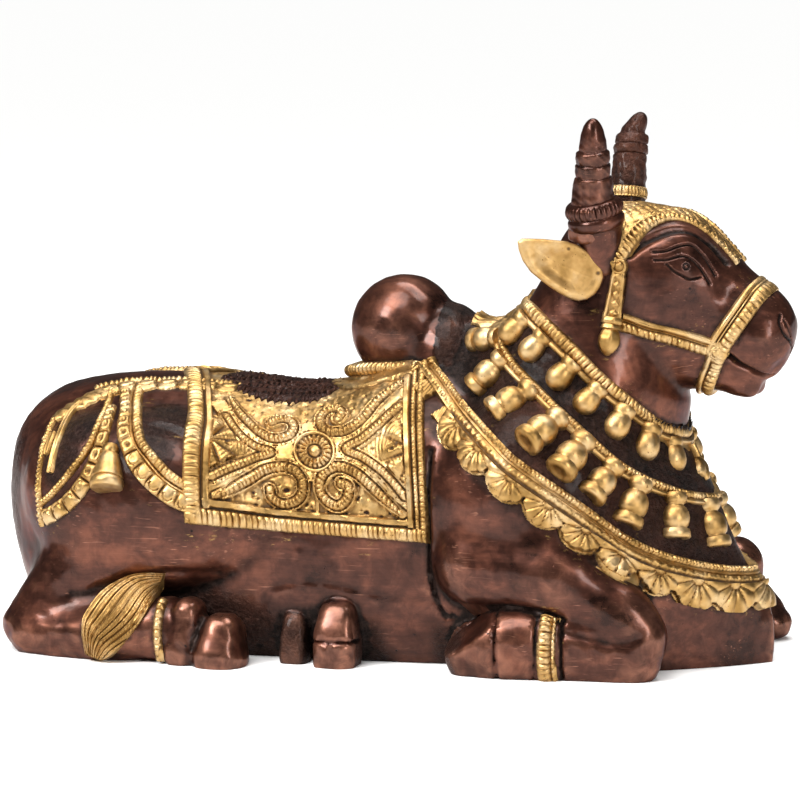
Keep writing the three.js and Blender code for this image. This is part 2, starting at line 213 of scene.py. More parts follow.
def mass(at, radii, turn=0, pitch=0, rows=22, sides=40):
    bend, spin = np.linspace(0, math.pi, rows), np.linspace(0, 2 * math.pi, sides + 1)
    egg = np.stack([np.outer(np.sin(bend), np.cos(spin)), np.outer(np.sin(bend), np.sin(spin)),
                    np.outer(np.cos(bend), np.ones(sides + 1))], axis=-1) * radii
    return egg @ (rotation("Z", turn) @ rotation("Y", pitch)).T + np.array(at)


bodyForms = {
    # [x, height of the widest part, half width, top, foot, squareness of the lower half]
    "torso": [
        [-159, 60, 8, 72, 48, 2], [-156, 58, 22, 82, 38, 2], [-148, 54, 38, 92, 19, 2.1],
        [-134, 48, 50, 99.5, -14, 2.5], [-116, 46, 55, 103.5, -14, 2.8],
        [-96, 45, 57, 104.5, -14, 2.9], [-68, 44, 57, 103, -14, 2.9], [-42, 44, 56, 100.5, -14, 2.9],
        [-15, 46, 55, 103, -14, 2.9], [12, 48, 54, 112, -14, 2.9], [46, 50, 50, 112, -14, 2.9],
    ],
    # [height, widest x, front, back, half width, sharpness of the front]
    "neck": [
        [-6, 84, 149.5, 20, 44, 1.2], [14, 86, 150, 20, 50, 1.2], [28, 86, 145.5, 20, 53, 1.35],
        [44, 84, 135.8, 18, 54, 1.5], [60, 82, 130, 16, 52, 1.65], [76, 80, 123, 16, 48, 1.85],
        [92, 79, 117.5, 18, 43, 2], [108, 79, 114, 24, 38, 2], [122, 80, 113, 33.5, 34, 2],
        [136, 82, 112, 50, 31, 2], [150, 84, 110, 61.5, 28, 2], [161, 86, 102, 68, 21, 2],
    ],
    # [along the head, top, jaw, half width, taper]
    "skull": [
        [-16, 14, 20, 16, 0], [-8, 22, 30, 24, 0.05], [6, 28, 37, 27, 0.1], [20, 34.3, 37.5, 27.5, 0.12],
        [32, 33.2, 35, 26, 0.14], [45, 27.6, 30, 21, 0.08], [55, 22.6, 23, 17.5, 0],
        [66, 19.6, 17.5, 15.5, -0.05], [73, 16.5, 15.5, 14, -0.05], [78.3, 10.5, 11.5, 10, 0],
        [80.4, 4, 5.5, 5, 0],
    ],
    "poll": [80, 148], "headPitch": 20,
    # the lines that places round the neck and over the barrel are counted about: x of the one, height of the other
    "neckMiddle": 75, "barrelMiddle": 45,
    "jaw": [[112, 0, 113, 15, 8], [126, 0, 111, 13, 7], [139, 0, 109.5, 10.5, 5.5]],
    "tail": [[-136, 0, 96, 7, 5], [-153, 0, 85, 6, 5], [-158.5, -1, 61, 6, 5], [-146, -4, 32, 5.5, 5],
             [-139, -8, 12, 5, 5]],
    "bellyHooves": [[[-8, -56, 2, 9.2, 8.2], [-8, -55.5, 10, 9.2, 8.2], [-8, -53, 17.5, 8.4, 7]],
                    [[-25.5, -54, 2, 6.4, 5.5], [-25.5, -53.5, 9, 6.2, 5.2], [-25.5, -52, 15, 5.4, 4.2]]],
    "hump": [[2, 0, 124.5], [21.2, 20.4, 21.2]], "withers": [[24, 0, 113], [24, 21, 21.5]],
    "farReach": 26,  # how much further forward the far foreleg lies
}
pitch = math.radians(bodyForms["headPitch"])
headOrigin = np.array([bodyForms["poll"][0], 0, bodyForms["poll"][1]], float)
headAlong = np.array([math.cos(pitch), 0, -math.sin(pitch)])
headUp = np.array([math.sin(pitch), 0, math.cos(pitch)])


def foreleg(side, reach):
    y = lambda n: side * n
    low = 6 if reach else 0
    forearm = [[46 + reach * 0.3, y(46), 42, 18, 19], [74 + reach * 0.7, y(50), 37 - low, 15, 18],
               [98 + reach, y(50), 25 - low * 1.4, 13, 14 - low / 5],
               [108 + reach * 1.04, y(50), 14 - low * 0.7, 11, 13 - low * 0.6]]
    cannon = [[46 + reach, y(56), 8, 11, 12], [60 + reach, y(57), 11, 13, 14],
              [80 + reach, y(55), 11, 11, 14], [106 + reach, y(50), 8, 12, 13]]
    leg = [mass([62 + reach * 0.4, y(38), 62], [37, 25, 42], side * -4, 16),
           limb(forearm), limb(cannon, 2.4)]
    if reach:
        # the far knee stands up beside the chest, its hoof pushed forward
        leg += [mass([98.5 + reach, y(47), 29], [11.5, 12, 12.5]),
                limb([[104 + reach, y(50), 11, 10, 10], [114.5 + reach, y(50), 6.5, 8.5, 6.5]])]
    return leg


def hindleg(side):
    y = lambda n: side * n
    gaskin = [[-96, y(46), 44, 22, 24], [-117, y(51), 27, 18, 17], [-133.5, y(55), 10, 14, 11.5]]
    cannon = [[-130, y(58), 8, 13, 11], [-104, y(63), 9, 13, 13], [-84, y(65), 12, 12, 12],
              [-72, y(65), 12, 11, 13]]
    outer = [[-66, y(68), 4, 9.5, 7.5], [-63.5, y(66.5), 20, 8.4, 6]]
    inner = [[-50.5, y(69), 3, 11, 10.5], [-50, y(67), 12.5, 9.6, 8]]
    return [mass([-88, y(45), 58], [54, 27, 36], side * 2, 6), limb(gaskin), limb(cannon),
            limb(outer, 2.6, (0.4, 0.7, 0.9)), limb(inner, 2.6, (0.4, 0.7, 0.9))]


def bodySections():
    rings = [section(np.array([x, 0, wide]), across, upright, width, top - wide, wide - foot, (2.5, square), 0, 72)
             for x, wide, width, top, foot, square in between(bodyForms["torso"], np.linspace(0, 1, 60))]
    forms = [withPoles(rings)]
    rings = [section(np.array([wide, 0, z]), across, forward, width, front - wide, wide - back, (sharp, 2.2), 0, 72)
             for z, wide, front, back, width, sharp in between(bodyForms["neck"], np.linspace(0, 1, 50))]
    forms.append(withPoles(rings))
    rings = [section(headOrigin + headAlong * along, across, headUp, width, top, jaw, (2.2, 2.3), taper, 64)
             for along, top, jaw, width, taper in between(bodyForms["skull"], np.linspace(0, 1, 60))]
    forms.append(withPoles(rings))
    forms += [limb(bodyForms["jaw"]), limb(bodyForms["tail"])]
    forms += [mass(*bodyForms["hump"]), mass(*bodyForms["withers"], 0, 20)]
    forms += foreleg(-1, 0) + foreleg(1, bodyForms["farReach"]) + hindleg(-1) + hindleg(1)
    forms += [limb(keys, 3.6, (0.5, 0.8, 0.95)) for keys in bodyForms["bellyHooves"]]
    return forms


def modified(piece, kind, **settings):
    # one modifier, set and applied
    only(piece)
    modifier = piece.modifiers.new(kind.title(), kind)
    for key, value in settings.items():
        setattr(modifier, key, value)
    bpy.ops.object.modifier_apply(modifier=modifier.name)
    return piece


def neighbours(piece):
    return read(piece.data.edges, "vertices", 2, np.int32)


def relaxed(points, edges, rounds, hold=None):
    # each point drawn towards the mean of its neighbours
    a, b = edges.T
    count = np.maximum(np.bincount(a, minlength=len(points)) + np.bincount(b, minlength=len(points)), 1)
    points = points.copy()
    for _ in range(rounds):
        mean = np.stack([np.bincount(a, points[b, k], len(points)) + np.bincount(b, points[a, k], len(points))
                         for k in range(points.shape[1])], axis=1) / count[:, None]
        step = 0.5 * (mean - points)
        points += step if hold is None else step * hold[:, None]
    return points


def smoothed(piece, rounds):
    # relaxed, then let out by what the relaxing took in
    points, edges = coordinates(piece), neighbours(piece)
    for _ in range(rounds):
        points = relaxed(points, edges, 1)
        taken = points - relaxed(points, edges, 1)
        points = points + taken * 0.94
    setCoordinates(piece, points)


def toLine(points, line, reach=12):
    # distance from each point to a smooth line, and how far along the line its nearest spot is
    spots = between(line, np.linspace(0, 1, 14 * len(line)))
    gap, at = np.full(len(points), 99.0), np.zeros(len(points))
    near = np.flatnonzero(((points > spots.min(0) - reach) & (points < spots.max(0) + reach)).all(1))
    for part in np.array_split(near, max(len(near) // 20000, 1)):
        apart = np.linalg.norm(points[part, None] - spots[None], axis=2)
        nearest = apart.argmin(1)
        gap[part], at[part] = apart[np.arange(len(part)), nearest], nearest / (len(spots) - 1)
    return gap, at


def unevenness(points, size, seed):
    # soft lumps of about the given size in millimetres, from a few crossing waves
    dice = np.random.default_rng(seed)
    lumps = np.zeros(len(points))
    for _ in range(10):
        way = unit(dice.normal(size=3)) * 2 * math.pi / size * dice.uniform(0.6, 1.5)
        lumps += np.sin(points @ way + dice.uniform(0, 2 * math.pi))
    return lumps / 3.2


# Places on the skin.

def hit(origin, away, reach=90.0, surface=None):
    # where a line from inside comes out through the skin, with the way the skin faces there
    point, normal, _, distance = (surface or skin).ray_cast(Vector(origin), Vector(away))
    if point is None or distance > reach:
        return [*(np.asarray(origin) + np.asarray(away) * reach), *away]
    return [*point, *normal]


def neckHeight(heights, angle):
    return between([[h] for h in heights], np.abs(angle) / 180)[:, 0]


def roundNeck(heights, angle, higher=0.0):
    # 0 degrees is the front of the neck, positive to the bull's left; behind, the line stops short of the hump
    turn = math.radians(angle)
    away = [math.cos(turn), math.sin(turn), 0]
    return hit([bodyForms["neckMiddle"], 0, neckHeight(heights, angle)[0] + higher], away,
               54 if abs(angle) > 140 else 90)


def neckTurn(points):
    return np.degrees(np.arctan2(points[:, 1], points[:, 0] - bodyForms["neckMiddle"]))


def overBarrel(x, angle, side=-1):
    # 0 degrees is straight out to one side, 90 is up; under the hump the line stops at the back's own height
    turn = math.radians(angle)
    return hit([x, 0, bodyForms["barrelMiddle"]], [0, side * math.cos(turn), math.sin(turn)],
               69 if 60 < angle < 120 and x > -22 else 90)


def roundHead(along, angle, side=-1):
    turn = math.radians(angle)
    away = headUp * math.sin(turn) + across * side * math.cos(turn)
    return hit(headOrigin + headAlong * along, away, 90, headSkin)


def run(keys, place, count=60):
    return np.array([place(*key) for key in between(keys, np.linspace(0, 1, count))])


# The casting's body and head.

neckLines = {  # heights every 30 degrees from the chest round to the nape
    "upperCollar": [87, 91.5, 104, 122, 133, 136, 136],
    "lowerCollar": [62.5, 67, 77.5, 98, 113, 126, 129],
    "garland": [32.8, 38.5, 49.5, 71, 91, 107, 112],
}
carving = {
    # how far the ground between the garland and the upper collar stands proud: up the chest as heights and lifts,
    # then at the sides and at the nape
    "chestGround": [[46, 60, 70, 88], [-0.4, -1.8, -2.2, -4.2]], "ground": [1.8, -1.4],
    # grooves of the near side as [depth, half width, points]; the far side mirrors those marked
    "bodyGrooves": [
        [1.7, 1.5, [[26.8, -46.7, 82.8], [27.6, -50.3, 66.6], [27.7, -52.1, 48.4], [28.1, -50.8, 34.3],
                    [30.4, -49.8, 24.9], [33.5, -49, 19.3]], True],
        [1.3, 2.0, [[36, -52, 19.5], [44, -53, 22], [53.5, -56.5, 25.5], [65.7, -58.7, 26.2],
                    [75.4, -60, 25.1], [82.4, -61.8, 22.5]], False],
        [1.8, 1.1, [[57, -59.3, 23], [57.8, -65.1, 16.2], [58, -67.2, 8], [58, -66, -1]], False],
        [1.2, 1.0, [[72.2, -60, 24.5], [72.4, -65.6, 16.2], [72.4, -67.2, 8], [72.4, -66, -1]], False],
        [1.5, 1.3, [[82, -61.5, 23.5], [82.6, -64.8, 16.2], [82.8, -66.2, 8], [82.8, -65, -1]], False],
        [0.7, 2.6, [[83, -64, 18.5], [92.8, -62.8, 16.3], [101.8, -61.4, 14.9], [110.8, -60.4, 16.8]], False],
        [0.7, 3.0, [[-112, -66.6, 24.7], [-106, -66.4, 25.4], [-94.5, -63, 30.3], [-76.6, -64.4, 34.2],
                    [-65.3, -62.6, 34], [-55.1, -57.6, 34.6]], True],
        [1.5, 0.8, [[-19, -57, 9.4], [-15, -62, 9.8], [-8, -64.4, 10], [-1, -62, 10.2], [3, -56, 10.4]], True],
        [0.5, 3.4, [[-38.9, -53.8, 23.3], [-33.5, -54.2, 29.4], [-15.5, -53.7, 32.2], [4.1, -52.6, 29.1],
                    [27.3, -50.2, 25.9]], True],
    ],
    # the muscles that catch the light, as [height, radius, place] in millimetres
    "bodySwells": [[1.9, 15, [78, -60, 42]], [-1.7, 13, [52, -54, 50]], [1.2, 15, [36, -50, 66]],
                   [-1.4, 12, [96, -56, 36]], [1.3, 18, [-104, -60, 46]], [-1.2, 14, [-70, -58, 44]],
                   [1.0, 20, [0, -54, 22]]],
    "hoofFacet": [[46.5, -66.5, 12.5], [-0.58, -0.42, 0.70]],  # a flat cut across the near fore hoof
    # head grooves as [depth, half width, points along and round the head]
    "headGrooves": [
        [1.1, 0.7, [[28.6, 33], [31.9, 31], [35.2, 31], [38.5, 32], [41.6, 38]]],
        [1.2, 0.8, [[23.5, 32], [28.1, 36], [32.4, 43], [36.1, 45], [39.7, 44], [43, 41], [45.4, 38]]],
        [1.3, 0.9, [[21.9, 37], [26.3, 41], [29.8, 48], [33.8, 54], [38.2, 54], [41.5, 52], [45.9, 47]]],
        [1.5, 2.8, [[14, 30], [16.4, 38], [19.8, 46], [25.2, 56], [32.5, 64], [40, 67], [47, 65]]],
        [1.3, 1.0, [[73.2, 53], [74.2, 41], [77.4, 31], [80.4, 34]]],
        [0.8, 0.7, [[74.8, 50], [77.4, 45], [79.1, 42]]],
        [2.6, 1.7, [[58.5, -30], [61.8, -31], [66.2, -39], [71.3, -46], [75, -58], [77.5, -78]]],
        [0.5, 0.8, [[62.7, -12], [62.6, 4], [63, 21], [64.2, 36]]],
        [0.6, 1.4, [[17.5, -12], [16.5, 3], [15.5, 16]]],
    ],
    "headSwells": [  # [height, radius, along, angle]
        [0.9, 5, 35.2, 38], [0.9, 7, 31, 58], [1.0, 7, 70, 8], [0.7, 4, 76.5, 48], [-1.2, 6, 52, 42],
        [-0.8, 9, 50, 5], [0.9, 12, 34, -8], [2.0, 6, 67, -72], [2.6, 5, 72, -76], [-1.2, 5, 79, -50],
    ],
    "finer": [[[35.2, 38], 12.5, 2], [[76, 40], 6.5, 1], [[70, -45], 10, 1]],  # [place, radius, cuts]
    "eye": [35.2, 38], "irisRadius": 1.1,
}


def softened(piece, rounds, weight=lambda p: np.ones(len(p))):
    points = toNotes(coordinates(piece))
    setCoordinates(piece, toFrame(relaxed(points, neighbours(piece), rounds, weight(points))))


def raised(piece, lift):
    # moves the surface along its own normals by millimetres
    setCoordinates(piece, coordinates(piece) + facing(piece) * (np.asarray(lift) * millimetre)[:, None])


def groove(gap, depth, half):
    return -depth * (1 - smoothStep(0, half, gap))


def neckGround(angle, height):
    side, nape = carving["ground"]
    chest = np.interp(height, *carving["chestGround"])
    turned = np.abs(angle)
    return side + (chest - side) * (1 - smoothStep(25, 75, turned)) + (nape - side) * smoothStep(115, 150, turned)


def neckLift(points):
    angle = neckTurn(points)
    low, high = neckHeight(neckLines["garland"], angle), neckHeight(neckLines["upperCollar"], angle)
    ground = neckGround(angle, points[:, 2])
    above = 1 - smoothStep(high - 1.5, high + np.where(ground < 0, 13, 1.5), points[:, 2])
    return ground * smoothStep(low - 1.5, low + 1.5, points[:, 2]) * above * smoothStep(24, 32, points[:, 0])


def withinNeck(points, lower, upper, soft=1.5):
    angle = neckTurn(points)
    low, high = neckHeight(neckLines[lower], angle), neckHeight(neckLines[upper], angle)
    return smoothStep(low - soft, low + soft, points[:, 2]) * (1 - smoothStep(high - soft, high + soft, points[:, 2]))


def editing(piece, chosen):
    # edit mode with only the chosen corners selected
    only(piece)
    bpy.ops.object.mode_set(mode="EDIT")
    bpy.ops.mesh.select_mode(type="VERT")
    bpy.ops.mesh.select_all(action="DESELECT")
    bpy.ops.object.mode_set(mode="OBJECT")
    piece.data.vertices.foreach_set("select", chosen)
    bpy.ops.object.mode_set(mode="EDIT")


def trimmed(piece, outside):
    # faces with a corner outside are deleted, and the hole is filled
    editing(piece, outside(toNotes(coordinates(piece))))
    bpy.ops.mesh.delete(type="VERT")
    bpy.ops.mesh.select_all(action="SELECT")
    bpy.ops.mesh.fill_holes(sides=0)
    bpy.ops.object.mode_set(mode="OBJECT")


def cutFlat(piece, height=0.0):
    # all below the height is cut off, and the opening closed with one flat face
    only(piece)
    bpy.ops.object.mode_set(mode="EDIT")
    bpy.ops.mesh.select_all(action="SELECT")
    bpy.ops.mesh.bisect(plane_co=(0, 0, height), plane_no=(0, 0, 1), clear_inner=True)
    bpy.ops.mesh.select_all(action="DESELECT")
    bpy.ops.mesh.select_mode(type="EDGE")
    bpy.ops.mesh.select_non_manifold(extend=False, use_wire=False, use_multi_face=False,
                                     use_non_contiguous=False, use_verts=False)
    bpy.ops.object.mode_set(mode="OBJECT")
    # only the loop in the plane of the cut; the one under the head is filled already
    low = coordinates(piece)[:, 2] < height + 1e-5
    ends = neighbours(piece)
    chosen = read(piece.data.edges, "select", 1, bool)[:, 0]
    piece.data.edges.foreach_set("select", chosen & low[ends].all(1))
    bpy.ops.object.mode_set(mode="EDIT")
    bpy.ops.mesh.fill(use_beauty=False)
    bpy.ops.mesh.select_all(action="SELECT")
    bpy.ops.mesh.normals_make_consistent(inside=False)
    bpy.ops.object.mode_set(mode="OBJECT")


def subdividedNear(piece, centres, radius, cuts):
    points = toNotes(coordinates(piece))
    near = np.zeros(len(points), bool)
    for centre in centres:
        near |= np.linalg.norm(points - centre, axis=1) < radius
    editing(piece, near)
    bpy.ops.mesh.select_mode(type="VERT")
    bpy.ops.mesh.select_mode(type="FACE")
    bpy.ops.mesh.subdivide(number_cuts=cuts)
    bpy.ops.object.mode_set(mode="OBJECT")


def treeOf(piece):
    # what lines are cast against, in the notes' own millimetres
    corners = [tuple(face.vertices) for face in piece.data.polygons]
    return BVHTree.FromPolygons(toNotes(coordinates(piece)).tolist(), corners)


def onHump(points):
    return smoothStep(106, 112, points[:, 2]) * (1 - smoothStep(22, 34, points[:, 0]))


rough = joined([skinned(form) for form in bodySections()], "bull_body")
headRough = rough.copy()
headRough.data = rough.data.copy()
bpy.context.collection.objects.link(headRough)
headRough.name = headRough.data.name = "bull_head"
print("forms skinned")

body = modified(rough, "REMESH", mode="VOXEL", voxel_size=1.2 * millimetre)
smoothed(body, 8)
softened(body, 110, lambda p: smoothStep(38, 52, p[:, 2]) * (1 - smoothStep(108, 118, p[:, 0])) * (1 - onHump(p)))
softened(body, 14, lambda p: smoothStep(30, 40, p[:, 2]))
softened(body, 60, lambda p: smoothStep(-86, -92, p[:, 0]) * smoothStep(12, 18, p[:, 2]) * (p[:, 1] < -30))
softened(body, 25, lambda p: smoothStep(78, 86, p[:, 0]) * smoothStep(26, 20, p[:, 2]) * (p[:, 1] < -40))
skin = treeOf(body)
print("body remeshed", faceCount(body))


def carveBody():
    raised(body, neckLift(toNotes(coordinates(body))))
    points = toNotes(coordinates(body))
    at, way = np.array(carving["hoofFacet"][0]), unit(np.array(carving["hoofFacet"][1]))
    beyond, (x, y, z) = (points - at) @ way, points.T
    facet = (beyond > 0) & (x < 57) & (x > 35) & (y < -53) & (z < 26)
    points[facet] -= way * beyond[facet, None]
    setCoordinates(body, toFrame(points))
    lift = np.zeros(len(points))
    for depth, half, line, bothSides in carving["bodyGrooves"]:
        for side in (1, -1) if bothSides else (1,):
            line = [list(skin.find_nearest(Vector(np.array(key) * [1, side, 1]))[0])
                    for key in between(line, np.linspace(0, 1, 12))]
            lift += groove(toLine(points, line)[0], depth, half)
    for height, radius, place in carving["bodySwells"]:
        for side in (1, -1):
            gap = np.linalg.norm(points - np.array(place) * [1, side, 1], axis=1)
            lift += height * np.exp(-(gap / radius) ** 2 * 1.4)
    low = 1 - smoothStep(2, 30, points[:, 2])
    lift += 0.22 * unevenness(points, 26, 3) + (0.07 + 0.06 * low) * unevenness(points, 6, 4)
    raised(body, lift)


def carveHead():
    # finer faces where the eyes, the nostrils and the mouth are cut
    for place, radius, cuts in carving["finer"]:
        subdividedNear(head, [np.array(roundHead(*place, side)[:3]) for side in (-1, 1)], radius, cuts)
    eyes = [np.array(roundHead(*carving["eye"], side)[:3]) for side in (-1, 1)]
    softened(head, 6)
    points = toNotes(coordinates(head))
    lift, ink = neckLift(points), np.zeros(len(points))
    for side in (-1, 1):
        for height, radius, along, angle in carving["headSwells"]:
            gap = np.linalg.norm(points - roundHead(along, angle, side)[:3], axis=1)
            lift += height * np.exp(-(gap / radius) ** 2 * 1.6)
        for depth, half, keys in carving["headGrooves"]:
            line = run(keys, lambda along, angle: roundHead(along, angle, side), 24)[:, :3]
            gap = toLine(points, line)[0]
            lift += groove(gap, depth, half)
            strength = min(depth / 1.5, 1) * (0.9 if half < 1.4 else 0.4)
            ink = np.maximum(ink, strength * (1 - smoothStep(half * 0.1, half * 0.95, gap)))
        gap = np.linalg.norm(points - eyes[(side + 1) // 2], axis=1)
        lift += groove(np.abs(gap - carving["irisRadius"]), 0.35, 0.5) + 0.3 * np.exp(-(gap / 0.7) ** 2)
        ink = np.maximum(ink, 0.9 * (1 - smoothStep(0.2, 0.6, np.abs(gap - carving["irisRadius"]))))
    lift += 0.12 * unevenness(points, 17, 5) + 0.02 * unevenness(points, 4, 6)
    raised(head, lift)
    return ink


def drawnToBody(piece):
    # the foot of the head follows the body's softer skin, so that the two meet flush
    points = toNotes(coordinates(piece))
    share = 1 - smoothStep(0, 13, points[:, 2] - onCollar(points))
    for i in np.flatnonzero(share > 0):
        points[i] += (np.array(skin.find_nearest(Vector(points[i]))[0]) - points[i]) * share[i]
    setCoordinates(piece, toFrame(points))


head = modified(headRough, "REMESH", mode="VOXEL", voxel_size=0.78 * millimetre)
smoothed(head, 8)
softened(head, 24)


def onCollar(points):
    return neckHeight(neckLines["upperCollar"], neckTurn(points))


trimmed(head, lambda p: (p[:, 2] < onCollar(p) - 1.5) | (p[:, 0] < 40))
drawnToBody(head)
headSkin = treeOf(head)
faceInk = carveHead()
carveBody()
trimmed(body, lambda p: (p[:, 2] > onCollar(p) + 1.5) & (p[:, 0] > 44))
cutFlat(body)
print("carved, body", faceCount(body), "head", faceCount(head))


# The trappings are strips and panels laid over the skin, their relief worked in millimetres.

def blurred(rows, width, loop=False):
    # a moving average down the rows, held at open ends and carried round on a loop
    half = max(int(width), 1)
    kernel = np.ones(2 * half + 1) / (2 * half + 1)
    flat = rows.reshape(len(rows), -1)
    padded = (np.vstack([flat[-half - 1:-1], flat, flat[1:half + 1]]) if loop
              else np.pad(flat, ((half, half), (0, 0)), mode="reflect", reflect_type="odd"))
    out = np.stack([np.convolve(column, kernel, mode="valid") for column in padded.T], axis=1)
    return out.reshape(rows.shape)


def gridFacing(grid, outward):
    normals = unit(np.cross(np.gradient(grid, axis=0), np.gradient(grid, axis=1)))
    return normals * np.where((normals * outward).sum(-1, keepdims=True) < 0, -1, 1)


def rolled(front, normals, tuck):
    # a relief closed behind by its own edges, tucked under the skin
    sides = [front[:, :1] - normals[:, :1] * tuck, front[:, -1:] - normals[:, -1:] * tuck]
    return np.concatenate([sides[0], front, sides[1], sides[0]], axis=1)


def laid(spots, lanes, relief, step=0.4, loop=False, tuck=1.6, ground=0.0, ease=6, surface=None):
    # spots run along the skin; lanes are distances to one side; relief gives the height over both
    ground = np.broadcast_to(np.asarray(ground, float).reshape(-1, 1), (len(spots), 1))
    spots = np.hstack([spots, ground])
    if loop:
        spots = np.vstack([spots, spots[:1]])
    points, outward, ground = spots[:, :3], spots[:, 3:6], spots[:, 6]
    travelled = travelledAlong(points)
    total = travelled[-1]
    at = np.linspace(0, total, max(int(total / step), 6))
    resample = lambda rows: np.stack([np.interp(at, travelled, rows[:, k]) for k in range(3)], axis=1)
    line, out = blurred(resample(points), ease, loop), unit(blurred(resample(outward), ease * 2, loop))
    along = np.gradient(line, axis=0)
    if loop:
        along[0] = along[-1] = line[1] - line[-2]
        line[-1], out[-1] = line[0], out[0]
    beside = unit(np.cross(out, along))
    base = np.empty((len(at), len(lanes), 3))
    for i in range(len(at)):
        for j, lane in enumerate(lanes):
            start = line[i] + beside[i] * lane + out[i] * 7
            point = (surface or skin).ray_cast(Vector(start), Vector(-out[i]), 16)[0]
            base[i, j] = point if point is not None else start - out[i] * 7
    for _ in range(2):
        base = blurred(base, 2, loop)
    if loop:
        base[-1] = base[0]
    normals = gridFacing(base, out[:, None])
    normals = unit(blurred(normals, 3, loop))
    if loop:
        normals[0] = normals[-1] = unit(normals[0] + normals[-1])
    height = relief(at[:, None] + 0 * lanes[None], lanes[None] + 0 * at[:, None], total)
    height = height + np.interp(at, travelled, ground)[:, None]
    if loop:
        height[-1] = height[0]
    rings = rolled(base + normals * height[..., None], normals, tuck)
    return rings if loop else withPoles(rings)


def dome(distance, half):
    return np.sqrt(np.clip(1 - (distance / half) ** 2, 0, 1))


def uneven(count, spread, seed):
    return 1 + spread * np.random.default_rng(seed).uniform(-1, 1, int(count) + 2)


def flutes(u, v, total, centre, half, pitch, rise, seed=1):
    # a rounded band cut across into flutes, each a little different as filed by hand
    pitch = total / max(round(total / pitch), 1)
    place = u / pitch + 0.12 * np.sin(u / pitch * 1.7 + seed)
    lobe = dome(2 * (place % 1) - 1, 1.05)
    tall = uneven(total / pitch + 3, 0.13, seed)[np.clip((place + 1).astype(int), 0, int(total / pitch) + 3)]
    return rise * dome(v - centre, half) * (0.3 + 0.7 * lobe) * tall


def cord(v, centre, half, rise):
    return rise * dome(v - centre, half)


def over(*reliefs):
    return np.maximum.reduce(reliefs)


def edged(height, v, low, high, depth=1.4):
    # falls away under the skin outside the strip's own width
    return np.where((v < low) | (v > high), -depth, height)


def wrinkled(s, g, size, seed):
    flat = np.stack([s.ravel(), g.ravel(), 0 * s.ravel()], axis=1)
    return unevenness(flat, size, seed).reshape(s.shape)


def mirrored(grid):
    return grid * [1, -1, 1]


def onBothSides(grids):
    return grids + [mirrored(grid) for grid in grids]


def trapping(name, grids):
    return joined([skinned(grid) for grid in grids], name)


def turnedPoints(profile, sides, flutesRound=0, depth=0.0):
    # an outline of [radius, drop] spun about the drop axis (x out, y along, z up)
    profile = np.array(profile, float)
    spin = np.linspace(0, 2 * math.pi, sides + 1)
    radius = profile[:, :1] * (1 - depth * (0.5 + 0.5 * np.cos(spin[None] * flutesRound)) * (flutesRound > 0))
    drop = np.repeat(profile[:, 1:], sides + 1, axis=1)
    return np.stack([radius * np.cos(spin), drop, radius * np.sin(spin)], axis=-1)


def hung(points, spot, down, rise, swing=0.0, size=1.0):
    # a turned shape laid on the skin at the spot, its length running the way given
    point, out = np.array(spot[:3]), unit(np.array(spot[3:]))
    along = unit(down - out * (down @ out))
    beside = np.cross(out, along)
    along = unit(along * math.cos(swing) + beside * math.sin(swing))
    beside = np.cross(out, along)
    basis = np.stack([beside, along, out])
    return (points * size) @ basis + point + out * rise


def fanned(u, v, centre, top, reach, petals, rise):
    # half a flower hanging from a strap: petals fan down from its top edge
    du, dv = u - centre, top - v
    far = np.hypot(du, dv)
    turn = np.degrees(np.arctan2(du, dv))
    spread = 196.0
    place = (turn + spread / 2) / spread * petals
    lobe = dome(2 * (place % 1) - 1, 1.06)
    edge = reach * (0.86 + 0.14 * lobe)
    petal = rise * (0.42 + 0.58 * lobe ** 0.7) * dome(far - reach * 0.62, reach * 0.52) * (far < edge)
    heart = (rise * 1.15) * dome(far, reach * 0.26)
    shown = (np.abs(turn) < spread / 2 + 2) & (far < edge)
    return np.where(shown, np.maximum(petal, heart), 0)


neckwear = {
    "upperBells": [19.5, 38.5, 55, 69, 83, 103, 122], "lowerBells": [10, 32.5, 51.5, 65, 78, 89, 106, 130],
    "upperSize": 1.0, "lowerSize": 1.17, "napeBell": [45, 22, 124],
    "roundBell": [[0, -1], [4.0, -1], [4.5, -0.3], [4.5, 1.4], [4.0, 2.2], [3.9, 2.8], [4.2, 3.2], [4.6, 4.3],
                  [5.0, 6], [5.1, 7.8], [4.7, 9.6], [3.8, 11.1], [2.5, 12.1], [1.1, 12.6], [0, 12.7]],
    "turnedBell": [[0, -2], [3.7, -2], [4.2, -1], [4.2, 0.6], [3.7, 1.3], [3.0, 1.9], [3.0, 2.3], [3.9, 3.1],
                   [4.7, 4.6], [5.0, 6.2], [4.9, 7.8], [4.5, 9.0], [3.9, 9.5], [3.9, 9.9], [4.9, 10.3], [5.2, 11.3],
                   [5.2, 12.8], [4.7, 13.4], [3, 13.6], [2.4, 13.2], [0, 13]],
    "fanPitch": 16.6, "fanReach": 9.5, "petals": 7,
    "plainEnd": 34,  # the garland's ends carry no fans
    # the near end of the garland, from beside the cloth's border to the shoulder
    "garlandEnd": [[16.6, -20, 113.8], [20.4, -24.5, 108.6], [30.9, -35.8, 100.9], [44.3, -49.5, 92.3]],
}


def neckRun(name, count=140, reach=180):
    keys = np.linspace(-reach, reach, count, endpoint=reach < 180)
    spots = np.array([roundNeck(neckLines[name], angle) for angle in keys])
    return spots, neckGround(keys, spots[:, 2])


